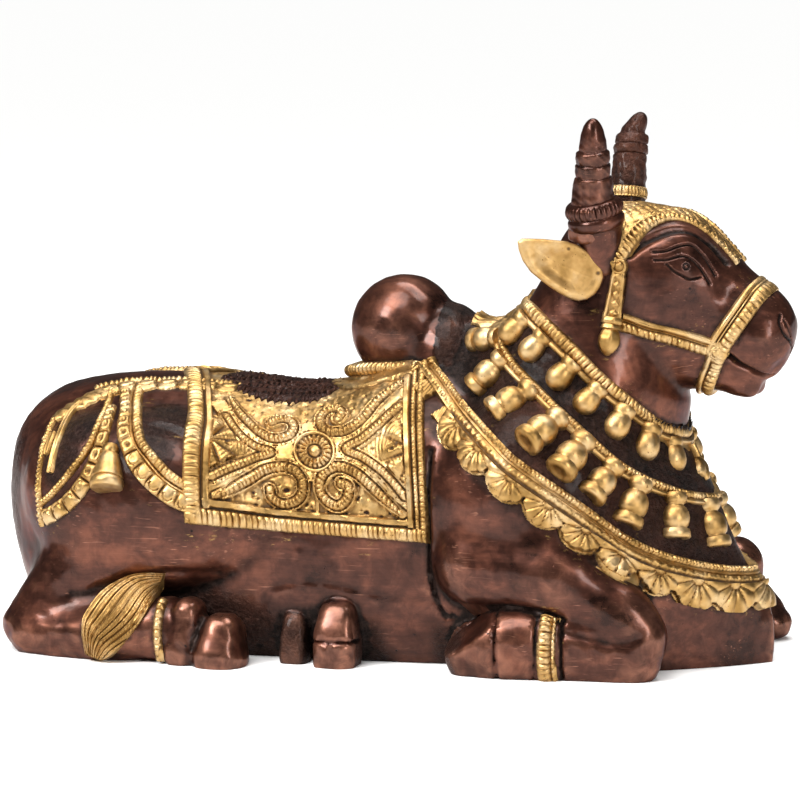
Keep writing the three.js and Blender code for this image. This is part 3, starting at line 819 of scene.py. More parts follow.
def collarReliefs():
    def upper(u, v, total):
        band = over(flutes(u, v, total, 1.6, 2.5, 2.1, 2.1, 3), cord(v, -2.2, 1.2, 1.8), 0.6 + 0 * v)
        # at the chest the plate spreads down between the bells' stems
        spread = 2.6 * smoothStep(34, 18, np.abs(u - total / 2)) * (0.7 + 0.3 * np.sin(u * 0.9))
        return np.where((v < -3.7 - spread) | (v > 4.2), -2.6, band)

    def lower(u, v, total):
        band = over(flutes(u, v, total, 1.25, 1.45, 1.7, 1.9, 4), cord(v, -1.4, 1.15, 1.7), 0.4 + 0 * v)
        return edged(band, v, -2.8, 2.8, 2.6)

    spots, ground = neckRun("upperCollar")
    top = laid(spots, lanesAcross(4.7, 0.42, -7.1), upper, 0.42, loop=True, tuck=1.5, ground=ground)
    # the lower rope ends under the leaves on the nape
    spots, ground = neckRun("lowerCollar", 118, 150)
    rope = laid(spots, lanesAcross(3.2, 0.4), lower, 0.42, tuck=1.5, ground=ground)
    return top, rope


def garlandRelief(u, v, total):
    middle = total / 2
    count = int(middle / neckwear["fanPitch"])
    centres = middle + neckwear["fanPitch"] * np.arange(-count, count + 1)
    ropes = over(flutes(u, v, total, 2.6, 1.3, 1.6, 2.7, 7), cord(v, 0.7, 0.7, 2.4),
                 cord(v, -1.3, 1.6, 2.5) * (0.9 + 0.1 * wrinkled(u, v, 2.2, 62)), 1.7 + 0 * v)
    dice = np.random.default_rng(5)
    fans, plate = np.full_like(u, -1.2), np.full_like(u, -1.2)
    top = -3.0
    for k, centre in enumerate(centres):
        # the flowers at the chest are the largest
        large = 1 + 0.13 * smoothStep(60, 25, abs(centre - middle))
        reach = neckwear["fanReach"] * dice.uniform(0.96, 1.06) * large
        if min(centre, total - centre) < neckwear["plainEnd"]:
            continue
        fan = fanned(u, v, centre, top, reach, neckwear["petals"] - (k % 3 == 1), 3.0)
        fans = np.maximum(fans, np.where(fan > 0, fan + 0.5, -1.2))
        plate = np.maximum(plate, np.where(np.hypot(u - centre, (top - v) * 1.02) < reach + 0.9, 0.6, -1.2))
    gaps = np.abs(u[:, :1] - centres[None]).min(axis=1, keepdims=True)
    leaf = np.where((v > top - 7.0 + 0.12 * gaps) & (v <= top + 0.4), 0.7 + 0.6 * np.abs(np.sin(u * 1.9 + v)), -1.2)
    return np.where(v > top, np.where(v > 3.9, -1.2, ropes), over(fans, plate, np.where(gaps > 4, leaf, -1.2)))


def skirtDown(spot, line):
    down = np.cross(spot[3:], line)
    return unit(-down if down[2] > 0 else down)


def bellsOn(name, angles, profile, seed, size=1.0):
    dice = np.random.default_rng(seed)
    shape = turnedPoints(profile, 22)
    made = []
    for angle in angles:
        for at in (-angle, angle):
            spot = np.array(roundNeck(neckLines[name], at, -2.2))
            line = np.subtract(roundNeck(neckLines[name], at + 3)[:3], roundNeck(neckLines[name], at - 3)[:3])
            rise = float(neckGround(at, spot[2])) + 0.5 - 1.5 * (angle < 25)
            made.append(hung(shape, spot, skirtDown(spot, line), rise,
                             dice.normal(0, 0.07), size * dice.uniform(0.94, 1.05)))
    return made


def leafPendant():
    # a three-lobed leaf hanging at the middle of the chest
    spots = np.array([roundNeck([87] * 7, 0, -3 - drop) for drop in np.linspace(0, 17, 30)])

    def leaf(u, v, total):
        stem = cord(v, 0, 1.3, 2.2) * (u < 8)
        lobes = np.zeros_like(u)
        for turn, long in ((0, 9), (38, 8), (-38, 8)):
            c, s = math.cos(math.radians(turn)), math.sin(math.radians(turn))
            along, aside = (u - 6) * c + v * s, -(u - 6) * s + v * c
            lobes = np.maximum(lobes, 2.4 * dome(along - long / 2, long / 2) * dome(aside, 2.3) ** 0.7)
        height = np.maximum(stem, lobes)
        return np.where(height > 0.3, height, -1.5)

    return laid(spots, np.arange(-6.5, 6.6, 0.45), leaf, 0.45, tuck=1.4, ground=neckGround(0, spots[:, 2]))


def onSkin(point):
    place, way = skin.find_nearest(Vector(point))[:2]
    return [*place, *way]


def garlandRun():
    end = [onSkin(key) for key in between(neckwear["garlandEnd"], np.linspace(0, 1, 22))]
    keys = np.linspace(-104, 104, 120)
    front = [roundNeck(neckLines["garland"], angle) for angle in keys]
    other = [[x, -y, z, nx, -ny, nz] for x, y, z, nx, ny, nz in end[::-1]]
    spots = np.array(end + front + other)
    ground = np.concatenate([np.full(len(end), 0.8), np.clip(neckGround(keys, 60), 0.0, 0.8), np.full(len(end), 0.8)])
    return spots, ground


def napeGrid():
    # an uneven sheet of leaves over the nape, between the hump and the upper collar
    xs, turns = np.linspace(31, 56, 70), np.linspace(34, 146, 110)
    ways = [[0, -math.cos(math.radians(turn)), math.sin(math.radians(turn))] for turn in turns]
    base = blurred(np.array([[hit([x, 0, 100], way, 45)[:3] for way in ways] for x in xs]), 4)
    base = blurred(base.transpose(1, 0, 2), 4).transpose(1, 0, 2)
    base = blurred(base, 5)
    normals = unit(blurred(gridFacing(base, np.array([0, 0, 1.0])), 4))
    x, around = xs[:, None] + 0 * turns[None], np.abs(turns - 90)[None] + 0 * xs[:, None]
    low = 21 + 27 * smoothStep(31, 48, x) + 3 * np.sin(x * 0.5)
    leaves = 0.6 * np.abs(np.sin(x * 0.42 + around * 0.10)) + 0.4 * np.abs(np.sin(x * 0.25 - around * 0.16 + 1))
    height = 0.7 + leaves + 0.2 * wrinkled(x, around, 6, 61)
    height = np.where((around < low) & (x > 32) & (x < 55), height - 1.4, -2.6)
    return withPoles(rolled(base + normals * height[..., None], normals, 1.6))


upperGrid, lowerGrid = collarReliefs()
upperBells = bellsOn("upperCollar", neckwear["upperBells"], neckwear["roundBell"], 11, neckwear["upperSize"])
upperCollar = trapping("upper_collar", [upperGrid, leafPendant(), *upperBells])
bell, (x, y, z) = turnedPoints(neckwear["turnedBell"], 22), neckwear["napeBell"]
napeBells = [hung(bell, np.array(onSkin([x, side * y, z])), np.array([-1, -0.25 * side, 0.1]), 0.2)
             for side in (-1, 1)]
lowerBells = bellsOn("lowerCollar", neckwear["lowerBells"], neckwear["turnedBell"], 12, neckwear["lowerSize"])
lowerCollar = trapping("lower_collar", [lowerGrid, *lowerBells, *napeBells])
spots, ground = garlandRun()
fans = laid(spots, np.arange(-13, 4.4, 0.4), garlandRelief, 0.42, tuck=1.5, ground=ground)
garland = trapping("garland", [fans, napeGrid()])
print("neck dressed", faceCount(upperCollar), faceCount(lowerCollar), faceCount(garland))

# The saddle cloth.

saddle = {
    "rear": -64.6, "front": 27.8, "lowAngle": 5.0,
    "lean": 11.5, "rearLean": 19.5,  # the cloth leans back towards the spine
    "weave": 0.385,  # millimetres between the points of its relief
    "hemRise": [[-64.6, -30, 27.8], [2.4, 0.4, -1.6]],  # how the hem wanders up and down along the cloth
    "rope": 6.6, "frame": 2.7, "frontRope": 2.9, "frontBeads": 2.0, "hem": 5.6,
    # lines read off the front panel as [x, angle up the barrel]
    "scrolls": [
        [[-53.4, 15], [-49.1, 18], [-44, 23], [-38.5, 28], [-32.2, 30], [-26.1, 29], [-22.5, 25], [-22.6, 20],
         [-25.4, 17], [-29.9, 16], [-34.1, 18], [-35.2, 21]],
        [[17.3, 16], [11.3, 20], [4.5, 25], [-1.5, 29], [-8.3, 31], [-13.4, 29], [-15.5, 25], [-14.6, 21],
         [-11.5, 18], [-7.5, 17], [-4.3, 20], [-4, 24], [-7, 25]],
        [[-60, 60], [-54.5, 53], [-48, 47], [-41.6, 42.5], [-36, 41], [-31, 42.5], [-29.6, 46], [-32.3, 49.5],
         [-36.6, 50], [-39.5, 48.5]],
        [[11, 65], [6.2, 60], [2.2, 55.5], [-1, 50], [-5.8, 45.5], [-10.7, 44], [-16.5, 45], [-19.5, 49],
         [-19, 53.5], [-15, 55], [-11.5, 52.5], [-12.5, 50]],
    ],
    "triangles": [
        [[-58.5, 50], [-52, 42.5], [-44.3, 37.5], [-36.5, 35.5], [-42.6, 32.5], [-48.6, 28], [-56, 22]],
        [[13.5, 55], [5.5, 46.5], [-0.9, 41], [-6.5, 37.5], [0.8, 34.5], [9.5, 29.5], [18, 22]],
    ],
    "leafRoots": [[-60, 35, 1], [21, 38, -1]],  # [x, angle, the way it points]
    "plainBand": 7.0, "pits": 130,
    "rosette": [-19.3, 36.8], "rosetteRadius": 7.9, "boss": 2.6,
    # the border round the back of the hump, as [turn, distance from the hump's middle, height]
    "humpEdge": [[-49, 24.2, 112.2], [-60, 20.8, 111.4], [-75, 18.3, 110.9], [-95, 17.6, 110.4], [-120, 18.6, 109.8],
                 [-145, 20.4, 108.8], [-165, 21.9, 107.6], [-180, 22.3, 107.2]],
    "borderSection": [[-9, 2.0], [-2, 2.5], [-0.8, 2.5], [0.7, 2.1], [1.6, 1.2], [1.9, 0.1], [1.6, -1.1],
                      [0.8, -2.0], [0.1, -2.4], [0.2, -2.7], [1.0, -3.0], [1.6, -3.7], [1.6, -4.5], [0.8, -5.4],
                      [-9, -6.2], [-9, 2.0]],
}


def leanAt(angle, s):
    share = (saddle["front"] - s) / (saddle["front"] - saddle["rear"])
    lean = saddle["lean"] + (saddle["rearLean"] - saddle["lean"]) * share
    return lean * (1 - np.cos(np.radians(angle))) / 0.758


def toCloth(x, angle):
    # where along the cloth a place on the barrel lies
    s = x + leanAt(angle, x)
    for _ in range(6):
        s = x + leanAt(angle, s)
    return s


def humpBorder():
    # the cloth's own border, a fluted rim carried round the back of the hump
    keys = saddle["humpEdge"]
    keys = keys + [[-360 - turn, far, height] for turn, far, height in keys[-2::-1]]
    rows = between(keys, np.linspace(0, 1, 300))
    middle = bodyForms["hump"][0]
    rim = np.array(saddle["borderSection"])
    rim = np.vstack([between(rim[:9], np.linspace(0, 1, 22)), between(rim[9:14], np.linspace(0, 1, 12)), rim[14:]])
    turns = np.radians(rows[:, 0])
    travelled = travelledAlong(np.stack([rows[:, 1] * np.cos(turns), rows[:, 1] * np.sin(turns)], 1))
    rings = []
    for (turn, far, height), u in zip(rows, travelled):
        lobe = dome(2 * (u / 2.0 % 1) - 1, 1.05)
        proud = rim[:, 0] - (1 - lobe) * 1.1 * ((rim[:, 1] > -2.3) & (rim[:, 0] > 0.3))
        out = np.array([math.cos(math.radians(turn)), math.sin(math.radians(turn)), 0])
        rings.append(np.array([middle[0], middle[1], height]) + out * (far + proud)[:, None] + upright * rim[:, 1:])
    return withPoles(np.array(rings))


def saddleGrid():
    lowAngle = saddle["lowAngle"]
    angles = np.linspace(lowAngle - 3.2, 90, 260)
    middle = np.array([overBarrel(-30 - leanAt(a, -30), a)[:3] for a in angles])
    girth = travelledAlong(middle)
    girth -= np.interp(lowAngle, angles, girth)
    climb = np.arange(girth[0], girth[-1], saddle["weave"])
    cuts = np.arange(saddle["rear"] - 0.6, saddle["front"] + 0.7, saddle["weave"])
    turns = np.interp(climb, girth, angles)
    base = np.array([[overBarrel(s - leanAt(a, s), a)[:3] for a in turns] for s in cuts])
    for _ in range(3):
        base = blurred(base, 2)
        base = blurred(base.transpose(1, 0, 2), 2).transpose(1, 0, 2)
    away = np.stack([np.zeros_like(turns), -np.cos(np.radians(turns)), np.sin(np.radians(turns))], axis=1)
    normals = gridFacing(base, away[None])
    s, g = np.meshgrid(cuts, climb, indexing="ij")
    toGirth = lambda line: np.stack([toCloth(np.array(line)[:, 0], np.array(line)[:, 1]),
                                     np.interp(np.array(line)[:, 1], angles, girth)], axis=1)
    g = g - np.interp(s, *saddle["hemRise"]) * (1 - smoothStep(8, 24, g))
    height = saddleRelief(s, g, girth[-1], toGirth)
    # a plain band follows the hump's border; under the hump the cloth stops
    hx, hy, _ = bodyForms["hump"][0]
    edge = np.array(saddle["humpEdge"])[::-1]
    turn = np.degrees(np.arctan2(-np.abs(base[..., 1] - hy), base[..., 0] - hx))
    beyond = np.hypot(base[..., 0] - hx, base[..., 1] - hy) - np.interp(turn, edge[:, 0], edge[:, 1])
    onTop = (base[..., 2] > 90) & (s < saddle["front"] - saddle["frontRope"] - saddle["frontBeads"])
    height = np.where((beyond < saddle["plainBand"]) & onTop,
                      0.7 + 1.5 * smoothStep(saddle["plainBand"], saddle["plainBand"] - 0.6, beyond), height)
    height = np.where((beyond < -1.5) & (base[..., 2] > 96), -2.0, height)
    front = base + normals * height[..., None]
    # the far side takes every second point
    coarse = np.unique(np.append(np.arange(0, len(climb), 2), len(climb) - 2))
    far = mirrored(front[:, coarse])[:, ::-1]
    farNormals = mirrored(normals[:, coarse])[:, ::-1]
    both = np.concatenate([front, far], axis=1)
    return withPoles(rolled(both, np.concatenate([normals, farNormals], axis=1), 2.0))


def alongLine(s, g, line):
    # distance to a smooth line, how far along it, and its whole length
    spots = between(line, np.linspace(0, 1, 12 * len(line)))
    travelled = travelledAlong(spots)
    gap, at = np.full(s.shape, 99.0), np.zeros(s.shape)
    for k in range(len(spots) - 1):
        (x0, y0), (x1, y1) = spots[k], spots[k + 1]
        long = max((x1 - x0) ** 2 + (y1 - y0) ** 2, 1e-9)
        t = np.clip(((s - x0) * (x1 - x0) + (g - y0) * (y1 - y0)) / long, 0, 1)
        apart = np.hypot(s - x0 - t * (x1 - x0), g - y0 - t * (y1 - y0))
        closer = apart < gap
        gap[closer] = apart[closer]
        at[closer] = (travelled[k] + t * (travelled[k + 1] - travelled[k]))[closer]
    return gap, at, travelled[-1]


def saddleRelief(s, g, top, toGirth):
    rear, front = saddle["rear"], saddle["front"]
    rope, ridge, hem = saddle["rope"], saddle["frame"], saddle["hem"]
    frontRope, beads = saddle["frontRope"], saddle["frontBeads"]
    left, right = rear + rope + 0.3 + ridge, front - frontRope - beads - 0.4 - ridge
    low, ground = hem + 0.4 + ridge, 0.7
    height = ground + 0.22 * wrinkled(s, g, 4.2, 41) + 0.05 * wrinkled(s, g, 1.6, 42)
    gapScroll, gapPoint = np.full(s.shape, 99.0), np.full(s.shape, 99.0)
    bands = np.zeros_like(s)
    for line in saddle["scrolls"]:
        gap, at, total = alongLine(s, g, toGirth(line))
        taper = 0.55 + 0.45 * smoothStep(0, 12, at)
        gapScroll = np.minimum(gapScroll, gap)
        bands = over(bands, flutes(at, gap, total, 0, 1.9 * taper, 1.75, 2.5, 21),
                     1.1 * dome(gap - 2.5 * taper, 0.55))
    inner = np.zeros(s.shape, bool)
    for line, (x, angle, way) in zip(saddle["triangles"], saddle["leafRoots"]):
        line = toGirth(line)
        gap, at, total = alongLine(s, g, line)
        gapPoint = np.minimum(gapPoint, gap)
        bands = over(bands, flutes(at, gap, total, 0, 1.6, 1.7, 2.0, 22), 1.0 * dome(gap - 2.25, 0.5))
        order = np.argsort(line[:, 1])
        limit = np.interp(g, line[order, 1], line[order, 0])
        within = ((limit - s) * way > 2.2) & (g > line[:, 1].min()) & (g < line[:, 1].max())
        inner |= within
        (rootS, rootG), = toGirth([[x, angle]])
        turn, far = np.arctan2(g - rootG, (s - rootS) * way), np.hypot(s - rootS, g - rootG)
        leaf = (0.25 + 1.8 * np.abs(np.cos(turn * 4.5)) ** 0.8) * smoothStep(17, 9, far)
        leaf = leaf + 0.25 * np.abs(np.sin(far * 2.2))
        height = np.where(within, ground + leaf * smoothStep(0, 1.5, (limit - s) * way - 2.2), height)
    # smooth ribbons between the scrolls and the pointed frames, widening round the rosette
    (cx, cy), = toGirth([saddle["rosette"]])
    far, turn = np.hypot(s - cx, g - cy), np.arctan2(g - cy, s - cx)
    ribbon = (gapScroll < 8.5) & (gapPoint < 8.5) & ~inner | (far < 12.5) & ~inner
    clear = smoothStep(1.9, 2.6, np.minimum(gapScroll, gapPoint + 0.3))
    height = np.where(ribbon, ground + 1.15 * clear, height)
    stem = dome(s - cx, 0.8) * (g < cy - 8) * (g > low)
    height = over(height, ground + 0.9 * stem)
    height = np.where(bands > 0.05, ground + bands, height)
    radius = saddle["rosetteRadius"]
    spokes = 1.9 * (0.3 + 0.7 * np.abs(np.cos(turn * 10))) * dome(far - radius * 0.62, radius * 0.27)
    rosette = over(spokes, 1.5 * dome(far - radius, 0.85), 2.1 * dome(far, saddle["boss"]),
                   0.9 * dome(far - 3.3, 0.5))
    height = np.where(far < radius + 0.8, ground - 0.3 + rosette, height)
    # casting pits, thickest in the ground below the scrolls
    dice = np.random.default_rng(43)
    for _ in range(saddle["pits"]):
        ps, pg = dice.uniform(left, right), low + (top * 0.75 - low) * dice.uniform(0, 1) ** 1.6
        size = dice.uniform(0.3, 0.85)
        apart = (s - ps) ** 2 + (g - pg) ** 2
        height -= 1.5 * size * np.exp(-apart / size ** 2) * (bands < 0.1) * ~ribbon
    # the flat frame and the fluted border outside it
    inside = (s > left) & (s < right) & (g > low)
    rim = over(smoothStep(left - ridge, left - ridge + 0.5, s) * smoothStep(left + 0.2, left - 0.3, s),
               smoothStep(right + ridge, right + ridge - 0.5, s) * smoothStep(right - 0.2, right + 0.3, s))
    rim = over(rim * (g > hem), smoothStep(low - ridge, low - ridge + 0.5, g) * smoothStep(low + 0.2, low - 0.3, g)
               * (s > left - ridge) * (s < right + ridge))
    height = np.where(inside, height, ground)
    height = np.where(rim > 0.02, ground + 1.5 * rim + 0.05 * wrinkled(s, g, 5, 44), height)
    sideRope = over(flutes(g, s, top, rear + rope / 2, rope / 2, 2.0, 1.9, 23),
                    flutes(g, s, top, front - frontRope / 2, frontRope / 2, 1.75, 1.9, 24),
                    flutes(g, s, top, front - frontRope - 0.2 - beads / 2, beads / 2, 1.5, 1.3, 25))
    hemRope = flutes(s, g, front - rear, hem / 2, hem / 2, 2.15, 1.95, 26)
    corner = (g < hem) & (s > rear + rope * g / hem) & (s < front - frontRope * g / hem)
    outer = (s < rear + rope + 0.1) | (s > front - frontRope - beads - 0.3)
    height = np.where((g >= hem) & outer, ground + sideRope, height)
    height = np.where(g < hem, ground + np.where(corner, hemRope, np.where(outer, sideRope, hemRope)), height)
    outside = (s < rear) | (s > front) | (g < 0)
    return np.where(outside, -1.8, height)


saddleCloth = trapping("saddle_cloth", [saddleGrid()])
clothBorder = trapping("cloth_border", [humpBorder()])
print("saddle cloth", faceCount(saddleCloth))

# The rump's trappings.

rump = {
    "topBand": [[-60, 72], [-82.6, 71.5], [-92, 69], [-101, 67.5], [-109, 65.5], [-116, 61.5]],
    "leafBand": [[-108, 64], [-113.2, 61], [-117.6, 57.5], [-121.8, 54], [-126.4, 51], [-129.5, 48]],
    "frontRope": [[-99, 66], [-97.6, 60], [-95.6, 53], [-90.3, 42], [-86.8, 35], [-84.1, 31], [-80.2, 28],
                  [-74.9, 24], [-70.1, 21], [-62, 18]],
    "frontBeads": [[-104, 62], [-100.4, 53], [-95.6, 42.5], [-92.8, 35], [-89, 29.7], [-84.9, 24.7], [-79.7, 20.6],
                   [-73.4, 17], [-68, 14.6], [-62, 13]],
    "rearRope": [[-110, 64], [-108, 54], [-105.6, 43], [-104.8, 35], [-106, 30], [-109.6, 25], [-115.4, 19.4],
                 [-121.8, 14.5], [-127, 12]],
    "rearBeads": [[-105, 50], [-101.4, 39], [-100.8, 32], [-102.6, 24.5], [-106, 18.4], [-111.6, 13.2], [-118.1, 9.6],
                  [-125, 7]],
    "rearEdge": [[-129.4, 50], [-130.2, 42], [-128.4, 31], [-128, 24], [-127.8, 17], [-127.2, 12], [-126.7, 4]],
    "rearStrap": [[-120, 55], [-122.6, 50], [-122.6, 44], [-121.4, 36], [-121.4, 29], [-122.1, 22]],
    "stub": [[-125.6, 38], [-125.4, 33], [-125.2, 28.5]],
    "beadPitch": 6.6, "scallopPitch": 8.2,
    "bellSpot": [-96.2, 28.5], "bellWay": [0.12, 0, -1],
    "bell": [[0, -2], [2.4, -2], [3.0, -1], [3.2, 0.4], [2.8, 1.4], [3.4, 1.9], [3.7, 3], [4.3, 5], [5.1, 8],
             [5.7, 10.2], [5.8, 10.8], [5.2, 11.2], [5.9, 11.7], [6.1, 13], [5.8, 14.6], [5.2, 15], [0, 14.8]],
}


def rumpGrids():
    def rope(half, pitch, line=False):
        # a twisted rope, with a plain line beside it where asked
        def relief(u, v, total):
            band = over(flutes(u, v, total, 0, half, pitch, 2.0, 31), 0.4 + 0 * v)
            band = over(band, cord(v, -half - 0.7, 0.6, 1.5)) if line else band
            return edged(band, v, -half - (1.3 if line else 0.1), half + 0.1)
        return relief

    def beads(low, high):
        # square pillows that widen along the strap: pierced at its start, with a curved brow at its end
        def relief(u, v, total):
            pitch = total / max(round(total / rump["beadPitch"]), 1)
            half = low + (high - low) * smoothStep(0.2, 0.75, u / total)
            a, b = 2 * (u / pitch % 1) - 1, v / half
            pillow = 2.3 * np.clip(1 - np.abs(a) ** 4, 0, 1) ** 0.5 * np.clip(1 - np.abs(b) ** 3, 0, 1) ** 0.5
            early = smoothStep(0.7, 0.5, u / total)
            hole = 1.5 * np.exp(-((a / 0.34) ** 2 + (b / 0.32) ** 2)) * early
            brow = 0.9 * np.exp(-((np.hypot(a / 0.62, (b + 0.1) / 0.55) - 1) / 0.16) ** 2) * (b < 0.05) * (1 - early)
            height = pillow - (hole + brow) * (np.abs(a) < 0.9)
            return np.where(np.abs(b) > 1.0, -1.3, np.maximum(height, 0.3))
        return relief

    def topBand(u, v, total):
        # a rope above a row of smooth scallops, each with a crescent line
        pitch = total / max(round(total / rump["scallopPitch"]), 1)
        a = 2 * (u / pitch % 1) - 1
        low = 5.0 + 2.0 * dome(a, 1.0)
        pillow = 1.9 * np.clip(1 - np.abs(a) ** 4, 0, 1) ** 0.5 * dome(v - 2.2, 5.4)
        arc = 0.9 * np.exp(-((np.hypot(a * 3.2, (v + 0.4) * 0.8) - 3.1) / 0.4) ** 2) * (v > -0.4)
        shell = np.where((v < -0.6) | (v > low), -1.4, np.maximum(pillow - arc, 0.4))
        band = over(flutes(u, v, total, -2.6, 2.2, 1.9, 2.1, 31), np.where(v < -0.4, 0.4, shell))
        return np.where(v < -4.9, -1.4, band)

    def leafy(u, v, total):
        half = 4.3 - 1.2 * smoothStep(0.5, 1, u / total) + 0.4 * np.sin(u * 1.3)
        lobes = 1.6 * dome(v, half) * (0.6 + 0.4 * np.abs(np.sin(u * 0.75 + v * 0.35)))
        return np.where(np.abs(v) < half, lobes + 0.3, -1.4)

    def plain(u, v, total):
        half = 1.5 + 0.25 * smoothStep(total - 5, total - 2, u)
        end = dome(np.clip(u - total + 1.6, 0, 1.6), 1.7)
        band = over(cord(v, 0.65, 0.85, 1.6), cord(v, -0.75, 0.8, 1.6))
        return np.where(np.abs(v) < half * end, band + 0.3, -1.3)

    place = lambda name: run(rump[name], overBarrel)
    spot = np.array(overBarrel(*rump["bellSpot"]))
    return [
        laid(place("topBand"), np.arange(-5.2, 7.7, 0.38), topBand),
        laid(place("leafBand"), lanesAcross(5.0), leafy),
        laid(place("rearStrap"), lanesAcross(2.2), plain),
        laid(place("stub"), lanesAcross(2.2), plain),
        laid(place("rearEdge"), lanesAcross(1.9), rope(1.3, 1.9)),
        laid(place("frontRope"), lanesAcross(3.4), rope(1.9, 2.0, True)),
        laid(place("frontBeads"), lanesAcross(4.0), beads(2.4, 3.5)),
        laid(place("rearRope"), lanesAcross(2.1), rope(1.5, 1.8)),
        laid(place("rearBeads"), lanesAcross(4.0), beads(2.3, 3.5)),
        hung(turnedPoints(rump["bell"], 30), spot, np.array(rump["bellWay"]), 0.6, 0, 1.08),
    ]


rumpTrappings = trapping("rump_trappings", onBothSides(rumpGrids()))
print("rump dressed", faceCount(rumpTrappings))

# The bridle, the ears and the horns.

bridle = {
    # lines read off the head as [along, angle round it]
    "browBand": [[8.8, 18], [10.2, 24], [11, 28], [11.8, 37], [13.2, 46], [15.2, 55], [18.2, 62], [22.4, 68.5],
                 [29, 74], [36.8, 77], [44.7, 76], [50.5, 75]],
    "browLine": [[4.5, 24], [6, 32], [8, 42], [9.8, 53], [12.4, 62], [15.5, 69]],
    "cheek": [[20.4, -19.5], [29.1, -21], [36.3, -20.5], [43.3, -22], [50.6, -24.5], [55, -26]],
    "nose": [[56, -31], [56.7, -18], [57.6, -6], [58.6, 8], [59.7, 23], [60.7, 39], [61.6, 55], [62.8, 72],
             [63.2, 90]],
    "chin": [[56.8, -30], [56.5, -42], [56.2, -55], [55.5, -75], [55.2, -90]],
    "temple": [[12.9, 16], [13.9, 6], [15.1, -5], [16.1, -14], [17.1, -21]],
    "plate": [-9, 50.5],  # the forehead plate reaches along the head from the poll to the brow bands' end
    "netPitch": 4.6,
    "earRosette": [12.4, 19], "junction": [56.2, -28.5], "bud": [17.2, -20],
    "budShape": [[0, -1.5], [3.7, -1.5], [4.3, -0.6], [4.3, 0.5], [3.6, 1.1], [4.1, 1.7], [4.2, 2.7], [3.2, 3.3],
                 [3.8, 4.4], [4.5, 6.2], [4.4, 8.2], [3.7, 10], [2.5, 11.6], [1.2, 12.8], [0, 13.2]],
}


def boss(spot, radius, rise, ring=0.0, petals=0):
    # a low round boss facing out from the skin
    rows = np.linspace(0, 1, 16)
    profile = [[0, -1.5]] + [[radius * math.sin(t * math.pi / 2), rise * math.cos(t * math.pi / 2) ** 0.6]
                             for t in rows[::-1]]
    for row in profile[2:]:
        row[1] -= ring * math.exp(-((row[0] / radius - 0.55) / 0.14) ** 2)
    shape = turnedPoints(profile, 36, petals, 0.12 if petals else 0)
    out = unit(np.array(spot[3:]))
    beside = unit(np.cross(out, [0.3, 0.1, 0.9]))
    basis = np.stack([beside, out, np.cross(beside, out)])
    return shape @ basis + np.array(spot[:3])


def bridleGrids():
    def brow(u, v, total):
        half = 3.0 - 1.2 * smoothStep(14, 32, u) - 0.6 * smoothStep(40, 58, u)
        rise = 2.0 - 1.1 * smoothStep(22, 42, u)
        band = rise / 2 * flutes(u, v / half, total, 0, 1, 1.9, 2.0, 41)
        return np.where(np.abs(v) < half, band + 0.3, -1.3)

    def line(u, v, total):
        return edged(over(flutes(u, v, total, 0, 1.3, 1.7, 1.5, 47), 0 * v), v, -1.3, 1.3, 0.6)

    def strap(u, v, total):
        band = over(cord(v, 2.35, 1.2, 1.8), cord(v, 0.9, 0.4, 1.3),
                    flutes(u, v, total, -1.6, 1.95, 2.3, 1.9, 42), 0.5 + 0 * v)
        return edged(band, v, -3.6, 3.6)

    def noseband(u, v, total):
        band = over(cord(v, 3.1, 1.25, 1.8), cord(v, 1.4, 0.55, 1.4),
                    flutes(u, v, total, -1.7, 2.5, 2.4, 2.0, 43), 0.5 + 0 * v)
        return edged(band * (1 - 0.68 * smoothStep(total * 0.5, total * 0.85, u)), v, -4.3, 4.4)

    def chinband(u, v, total):
        band = over(cord(v, -2.4, 1.2, 1.7), flutes(u, v, total, 1.1, 2.3, 2.1, 1.8, 44), 0.5 + 0 * v)
        return edged(band, v, -3.7, 3.5)

    def templeBand(u, v, total):
        half = 2.7 + 1.0 * u / total
        a, b = 2 * (u / 3.6 % 1) - 1, (v - 0.3) / 1.5
        beads = 1.7 * np.clip(1.15 - np.abs(a) - 0.6 * np.abs(b), 0, 0.6) / 0.6 * (np.abs(b) < 1)
        rim = smoothStep(half, half - 0.4, v) * (v > half - 1.5) * 1.4
        band = over(cord(v, -half + 0.9, 0.85, 1.9), rim, beads, 1.0 + 0 * v)
        return np.where(np.abs(v) > half, -1.4, band)

    temple = run(bridle["temple"], roundHead)
    down = temple[-1, :3] - temple[-14, :3]
    place = lambda name: run(bridle[name], roundHead)
    onHead = lambda spots, lanes, relief, step: laid(spots, lanes, relief, step, ground=0.3, surface=headSkin)
    return [
        onHead(place("browLine"), lanesAcross(1.8, 0.3), line, 0.36),
        onHead(place("browBand"), lanesAcross(3.5, 0.31), brow, 0.34),
        onHead(place("cheek"), lanesAcross(4.1), strap, 0.36),
        onHead(place("nose"), lanesAcross(4.9), noseband, 0.38),
        onHead(place("chin"), lanesAcross(4.2), chinband, 0.38),
        onHead(temple, lanesAcross(4.2, 0.35), templeBand, 0.36),
        boss(roundHead(*bridle["earRosette"]), 3.3, 2.9, 0.8),
        boss(roundHead(*bridle["junction"]), 4.6, 1.9, 0.0),
        boss(roundHead(*bridle["junction"]), 3.1, 2.9, 0.3, 9),
        hung(turnedPoints(bridle["budShape"], 36, 6, 0.13), np.array(roundHead(*bridle["bud"])), down, 1.0),
    ]


